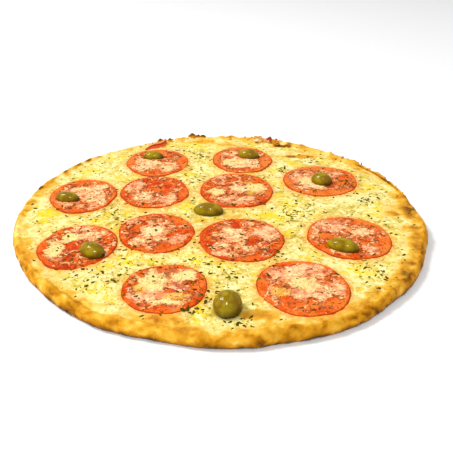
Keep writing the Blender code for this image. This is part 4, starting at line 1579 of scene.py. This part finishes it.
def make_strip():
    """A ribbon of tomato skin on its edge: a grid bent along the path, whose thickness is a modifier."""
    path = [Vector((x * MM, y * MM, STRIP_FOOT)) for x, y in STRIP_PATH]
    lengthwise, upwards = STRIP_CELLS
    bm = bmesh.new()
    bmesh.ops.create_grid(bm, x_segments=lengthwise, y_segments=upwards, size=0.5)
    top_mark = bm.verts.layers.float.new("top")
    for vert in bm.verts:
        along = (vert.co.x + 0.5) * (len(path) - 1)
        up = vert.co.y + 0.5
        start = min(int(along), len(path) - 2)
        ahead = path[start + 1] - path[start]
        foot = path[start] + ahead * (along - start)
        side = Vector((-ahead.y, ahead.x, 0)).normalized()
        slim = 1 - STRIP_TAPER * smooth(2.2, 0.0, along) + STRIP_WIDENING * smooth(3.0, 5.0, along)
        curl = STRIP_CURL * up**2 + STRIP_WAVE * uneven(along, up, 0, 1.1, 3)
        height = up * STRIP_HEIGHT * slim + STRIP_LIFT
        vert.co = foot + side * (height * STRIP_LEAN - curl) + Vector((0, 0, height))
        vert[top_mark] = up
    every_axis = {"use_axis_x": True, "use_axis_y": True, "use_axis_z": True}
    for _ in range(2):
        bmesh.ops.smooth_vert(bm, verts=bm.verts, factor=0.5, **every_axis)
    return bm


def crags():
    """Each burnt point of cheese on the back rim, with its foot in it."""
    surface = Surface("baked_crust", "cheese_layer")
    for number, (degrees, width, height, inset) in enumerate(CRAGS):
        angle = math.radians(degrees)
        size = (width * MM * CRAG_DEPTH, width * MM, height * MM)
        bm = lump(size, number + 10, 0.25, turn=angle)
        top = max(v.co.z for v in bm.verts)
        toast_mark = bm.verts.layers.float.new("toast")
        for vert in bm.verts:
            share = vert.co.z / top
            vert.co.x *= 1 - CRAG_TAPER * share
            vert.co.y *= 1 - CRAG_TAPER * share
            vert[toast_mark] = between(*CRAG_TOAST, smooth(0.4, 0.75, share))
        spot = at_inset(angle, inset * MM, 0)
        spot.z = surface.under(spot.x, spot.y)[0].z - CRAG_SUNK * height * MM
        bmesh.ops.translate(bm, vec=spot, verts=bm.verts)
        yield bm


def make_baked_bit(number):
    """A lump that fills the box of its solid on the back rim."""
    low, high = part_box(f"baked_bit_{number}")
    bm = lump(high - low, number + 30, 0.35, swell=0.8)
    top = max(vert.co.z for vert in bm.verts)
    up_mark = bm.verts.layers.float.new("up")
    for vert in bm.verts:
        vert[up_mark] = vert.co.z / top
        vert.co.z *= (high.z - low.z) / top
    bmesh.ops.translate(bm, vec=((low.x + high.x) / 2, (low.y + high.y) / 2, low.z), verts=bm.verts)
    return bm


# ---- Scattered pieces ----------------------------------------------------------------------------------


def make_shreds(count):
    """Short shreds of cheese on the slices, where cheese covers them."""
    draw = random.Random(31)
    placed = []
    for number, outline in SLICES.items():
        surface = Surface(f"tomato_round_{number:02d}")
        made = 0
        while made < count:
            angle = draw.uniform(-math.pi, math.pi)
            share = math.sqrt(draw.random()) * SHRED_SPREAD
            reach = outline.reach(angle)
            x, y = outline.spot(angle, share * reach)
            turn, tilt = draw.uniform(0, math.pi), draw.uniform(-0.2, 0.2)
            size = [draw.uniform(*sizes) for sizes in SHRED_SIZES]
            shade = draw.random()
            marks, _ = slice_marks(number, x, y, (1 - share) * reach)
            if olive_distance(x, y) < SHRED_CLEARANCE or marks["cover"] < draw.random():
                continue
            matrix = lying(*surface.under(x, y), turn, tilt, size)
            placed.append((matrix, min(1.0, marks["blush"] + 0.3 * shade)))
            made += 1
    pattern = bmesh.new()
    bmesh.ops.create_uvsphere(pattern, u_segments=8, v_segments=5, radius=1)
    bmesh.ops.rotate(pattern, matrix=Matrix.Rotation(math.pi / 2, 3, "Y"), verts=pattern.verts)
    return gathered(copies(pattern, placed))


def make_crumbs():
    """Toasted crumbs along the outer edge of the back rim."""
    draw = random.Random(41)
    surface = Surface("baked_crust", "cheese_layer")
    placed = []
    while len(placed) < CRUMBS:
        degrees, spread, inset, depth = draw.choice(CRUMB_PLACES)
        angle = math.radians(draw.gauss(degrees, spread))
        spot = at_inset(angle, draw.gauss(inset, depth) * MM, 0)
        half = between(*CRUMB_SIZES, draw.random() ** 2)
        size = (half, half * draw.uniform(0.5, 0.9), half * draw.uniform(0.4, 0.9))
        found = surface.under(spot.x, spot.y)
        if found:
            matrix = lying(*found, draw.uniform(0, math.pi), draw.uniform(-0.4, 0.4), size)
            placed.append((matrix, draw.random()))
    return gathered(copies(grain_pattern(2, draw, (0.75, 1.2)), placed))


def herb_place(draw):
    """A place for a flake, in a cluster or anywhere on the pizza."""
    shares = [share for *_, share in HERB_CLUSTERS] + [HERB_SCATTER_SHARE]
    chosen = draw.choices(range(len(shares)), shares)[0]
    if chosen == len(HERB_CLUSTERS):
        angle = draw.uniform(-math.pi, math.pi)
        return at_inset(angle, dough_radius(angle) * (1 - HERB_REACH * math.sqrt(draw.random())), 0).xy
    x, y, spread, _ = HERB_CLUSTERS[chosen]
    return Vector((draw.gauss(x, spread * 0.6), draw.gauss(y, spread * 0.6))) * MM


def make_herbs(settings):
    """Flakes of dried herbs, a few long and most of them small."""
    draw = random.Random(17)
    surface = Surface("baked_crust", "cheese_layer", *(f"tomato_round_{number:02d}" for number in SLICES))
    placed = []
    while len(placed) < settings.flakes:
        x, y = herb_place(draw)
        length = between(HERB_SHORTEST, 1.0, draw.random() ** HERB_SMALLNESS)
        half = settings.longest / 2 * length
        size = (half, half * draw.uniform(*HERB_WIDTHS), half * draw.uniform(*HERB_HEIGHTS))
        turn, tilt = draw.gauss(0.25, 0.8), draw.uniform(-0.35, 0.35)
        shade = draw.random() * (1.3 - length)
        if olive_distance(x, y) < HERB_CLEARANCE or inset_of(x, y)[1] < HERB_INSET:
            continue
        placed.append((lying(*surface.under(x, y), turn, tilt, size), shade))
    return gathered(copies(grain_pattern(1, draw, (0.7, 1.25)), placed))


# ---- The stage -----------------------------------------------------------------------------------------


def make_floor(lightness):
    finish = Finish("Pale floor", 0.6)
    shade = finish.blend(finish.noise(0.4), [lightness] * 3, [lightness * 0.99] * 3)
    bm = bmesh.new()
    bmesh.ops.create_grid(bm, x_segments=8, y_segments=8, size=FLOOR_HALF)
    bmesh.ops.translate(bm, vec=(0, 0, -FLOOR_DROP), verts=bm.verts)
    add_to_scene("floor", as_mesh("floor", bm, finish.finish(shade)))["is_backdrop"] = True


def softbox(name, place, size, power):
    """A square area light that faces the pizza."""
    light = bpy.data.lights.new(name, "AREA")
    light.size = size
    light.energy = power
    lamp = add_to_scene(name, light)
    lamp.location = place
    lamp.rotation_euler = (-Vector(place)).to_track_quat("-Z", "Y").to_euler()


def set_world(strength):
    world = bpy.data.worlds.new("Soft light")
    world.use_nodes = True
    background = world.node_tree.nodes["Background"]
    background.inputs["Color"].default_value = (1, 1, 1, 1)
    background.inputs["Strength"].default_value = strength
    bpy.context.scene.world = world


def set_camera():
    camera = bpy.data.cameras.new("camera")
    camera.lens = CAMERA_LENS
    camera.sensor_width = 36
    camera.shift_x, camera.shift_y = CAMERA_SHIFT
    camera.clip_start, camera.clip_end = 0.01, 20
    holder = add_to_scene("camera", camera)
    forward, up = Vector(CAMERA_FORWARD), Vector(CAMERA_UP)
    right = forward.cross(up).normalized()
    turned = Matrix((right, right.cross(forward), -forward)).transposed()
    holder.matrix_world = Matrix.Translation(CAMERA_PLACE) @ turned.to_4x4()
    bpy.context.scene.camera = holder


# ---- Operators -----------------------------------------------------------------------------------------


class PIZZA_OT_dough(bpy.types.Operator):
    """Model the baked dough with its low uneven golden rim"""

    bl_idname = "pizza.dough"
    bl_label = "Dough"

    def execute(self, context):
        dough = context.scene.pizza.dough
        add_piece("baked_crust", make_dough(dough), dough_finish(dough), ["crust"])
        return {"FINISHED"}


class PIZZA_OT_cheese(bpy.types.Operator):
    """Model the melted cheese, with its burnt crags at the back"""

    bl_idname = "pizza.cheese"
    bl_label = "Cheese"

    def execute(self, context):
        pizza = context.scene.pizza
        finish = cheese_finish(pizza.cheese, pizza.dough)
        add_piece("cheese_layer", make_cheese(pizza.cheese, pizza.dough), finish, ["melted_cheese"])
        add_piece("burnt_crags", gathered(crags()), crag_finish(pizza.dough))
        return {"FINISHED"}


class PIZZA_OT_tomato_slices(bpy.types.Operator):
    """Model the tomato slices, partly covered with melted cheese"""

    bl_idname = "pizza.tomato_slices"
    bl_label = "Tomato slices"

    def execute(self, context):
        tomato = context.scene.pizza.tomato
        finish = tomato_finish(tomato)
        for number in SLICES:
            bm = make_slice(number, tomato)
            add_piece(f"tomato_round_{number:02d}", bm, finish, [f"tomato_slice_{number:02d}"])
        return {"FINISHED"}


class PIZZA_OT_olives(bpy.types.Operator):
    """Model the whole green olives"""

    bl_idname = "pizza.olives"
    bl_label = "Olives"

    def execute(self, context):
        olive = context.scene.pizza.olive
        finish = olive_finish(olive)
        for number in OLIVES:
            bm = make_olive(number, olive)
            add_piece(f"whole_olive_{number:02d}", bm, finish, [f"olive_{number:02d}"])
        return {"FINISHED"}


class PIZZA_OT_rim_toppings(bpy.types.Operator):
    """Model the strip of tomato skin, the baked bits and the crumbs on the back rim"""

    bl_idname = "pizza.rim_toppings"
    bl_label = "Rim toppings"

    def execute(self, context):
        pizza = context.scene.pizza
        finish = skin_finish(pizza.tomato)
        strip = add_piece("skin_curl", make_strip(), finish, ["tomato_strip"])
        wall = strip.modifiers.new("Thickness", "SOLIDIFY")
        wall.thickness = STRIP_WALL
        wall.offset = 0
        rounding = strip.modifiers.new("Rounding", "SUBSURF")
        rounding.levels = rounding.render_levels = 1
        finishes = [
            baked_finish("Pale cheese lump", pizza.tomato.cover, pizza.dough.amber, 0.75),
            baked_finish("Red baked bit", pizza.tomato.blush, pizza.tomato.skin, 0.6),
            baked_finish("Pinkish baked bit", pizza.tomato.inner, pizza.dough.amber, 0.6),
        ]
        for number, finish in enumerate(finishes, 1):
            bm = make_baked_bit(number)
            add_piece(f"rim_bit_{number}", bm, finish, [f"baked_bit_{number}"])
        add_piece("rim_crumbs", make_crumbs(), crumb_finish(pizza.tomato, pizza.dough))
        return {"FINISHED"}


class PIZZA_OT_shreds(bpy.types.Operator):
    """Lay shreds of cheese on the tomato slices"""

    bl_idname = "pizza.shreds"
    bl_label = "Cheese shreds"

    def execute(self, context):
        pizza = context.scene.pizza
        add_piece("cheese_shreds", make_shreds(pizza.herbs.shreds), shred_finish(pizza.tomato))
        return {"FINISHED"}


class PIZZA_OT_herbs(bpy.types.Operator):
    """Scatter dried herbs over the cheese and the slices"""

    bl_idname = "pizza.herbs"
    bl_label = "Herbs"

    def execute(self, context):
        herbs = context.scene.pizza.herbs
        add_piece("herb_flakes", make_herbs(herbs), herb_finish(herbs))
        return {"FINISHED"}


class PIZZA_OT_stage(bpy.types.Operator):
    """Set the floor, the lights and the camera"""

    bl_idname = "pizza.stage"
    bl_label = "Stage"

    def execute(self, context):
        stage = context.scene.pizza.stage
        context.scene.view_settings.view_transform = "Standard"
        make_floor(stage.floor)
        set_world(stage.sky)
        softbox("key_light", KEY_PLACE, KEY_SIZE, stage.key)
        softbox("front_light", FRONT_PLACE, FRONT_SIZE, stage.front)
        set_camera()
        return {"FINISHED"}


class PIZZA_PT_panel(bpy.types.Panel):
    """The pieces of the pizza, and the settings they are made from"""

    bl_idname = "PIZZA_PT_panel"
    bl_label = "Cheese pizza"
    bl_space_type = "VIEW_3D"
    bl_region_type = "UI"
    bl_category = "Pizza"

    def draw(self, context):
        for operator in PIECE_OPERATORS:
            self.layout.operator(operator.bl_idname)
        pizza = context.scene.pizza
        for group in ("dough", "cheese", "tomato", "olive", "herbs", "stage"):
            box = self.layout.box()
            settings = getattr(pizza, group)
            box.label(text=group.capitalize())
            for name in settings.__annotations__:
                box.prop(settings, name)


SETTING_GROUPS = (
    DoughSettings,
    CheeseSettings,
    TomatoSettings,
    OliveSettings,
    HerbSettings,
    StageSettings,
    PizzaSettings,
)
PIECE_OPERATORS = (
    PIZZA_OT_dough,
    PIZZA_OT_cheese,
    PIZZA_OT_tomato_slices,
    PIZZA_OT_olives,
    PIZZA_OT_rim_toppings,
    PIZZA_OT_shreds,
    PIZZA_OT_herbs,
    PIZZA_OT_stage,
)


def register():
    for made in (*SETTING_GROUPS, *PIECE_OPERATORS, PIZZA_PT_panel):
        bpy.utils.register_class(made)
    bpy.types.Scene.pizza = PointerProperty(type=PizzaSettings)


def unregister():
    del bpy.types.Scene.pizza
    for made in reversed((*SETTING_GROUPS, *PIECE_OPERATORS, PIZZA_PT_panel)):
        bpy.utils.unregister_class(made)


def main():
    register()
    bpy.ops.pizza.dough()
    bpy.ops.pizza.cheese()
    bpy.ops.pizza.tomato_slices()
    bpy.ops.pizza.olives()
    bpy.ops.pizza.rim_toppings()
    bpy.ops.pizza.shreds()
    bpy.ops.pizza.herbs()
    bpy.ops.pizza.stage()
    boxes = {"solids": SOLIDS_BOX, "model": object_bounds()}
    {name: [list(corner) for corner in box] for name, box in boxes.items()}


if __name__ == "__main__":
    main()
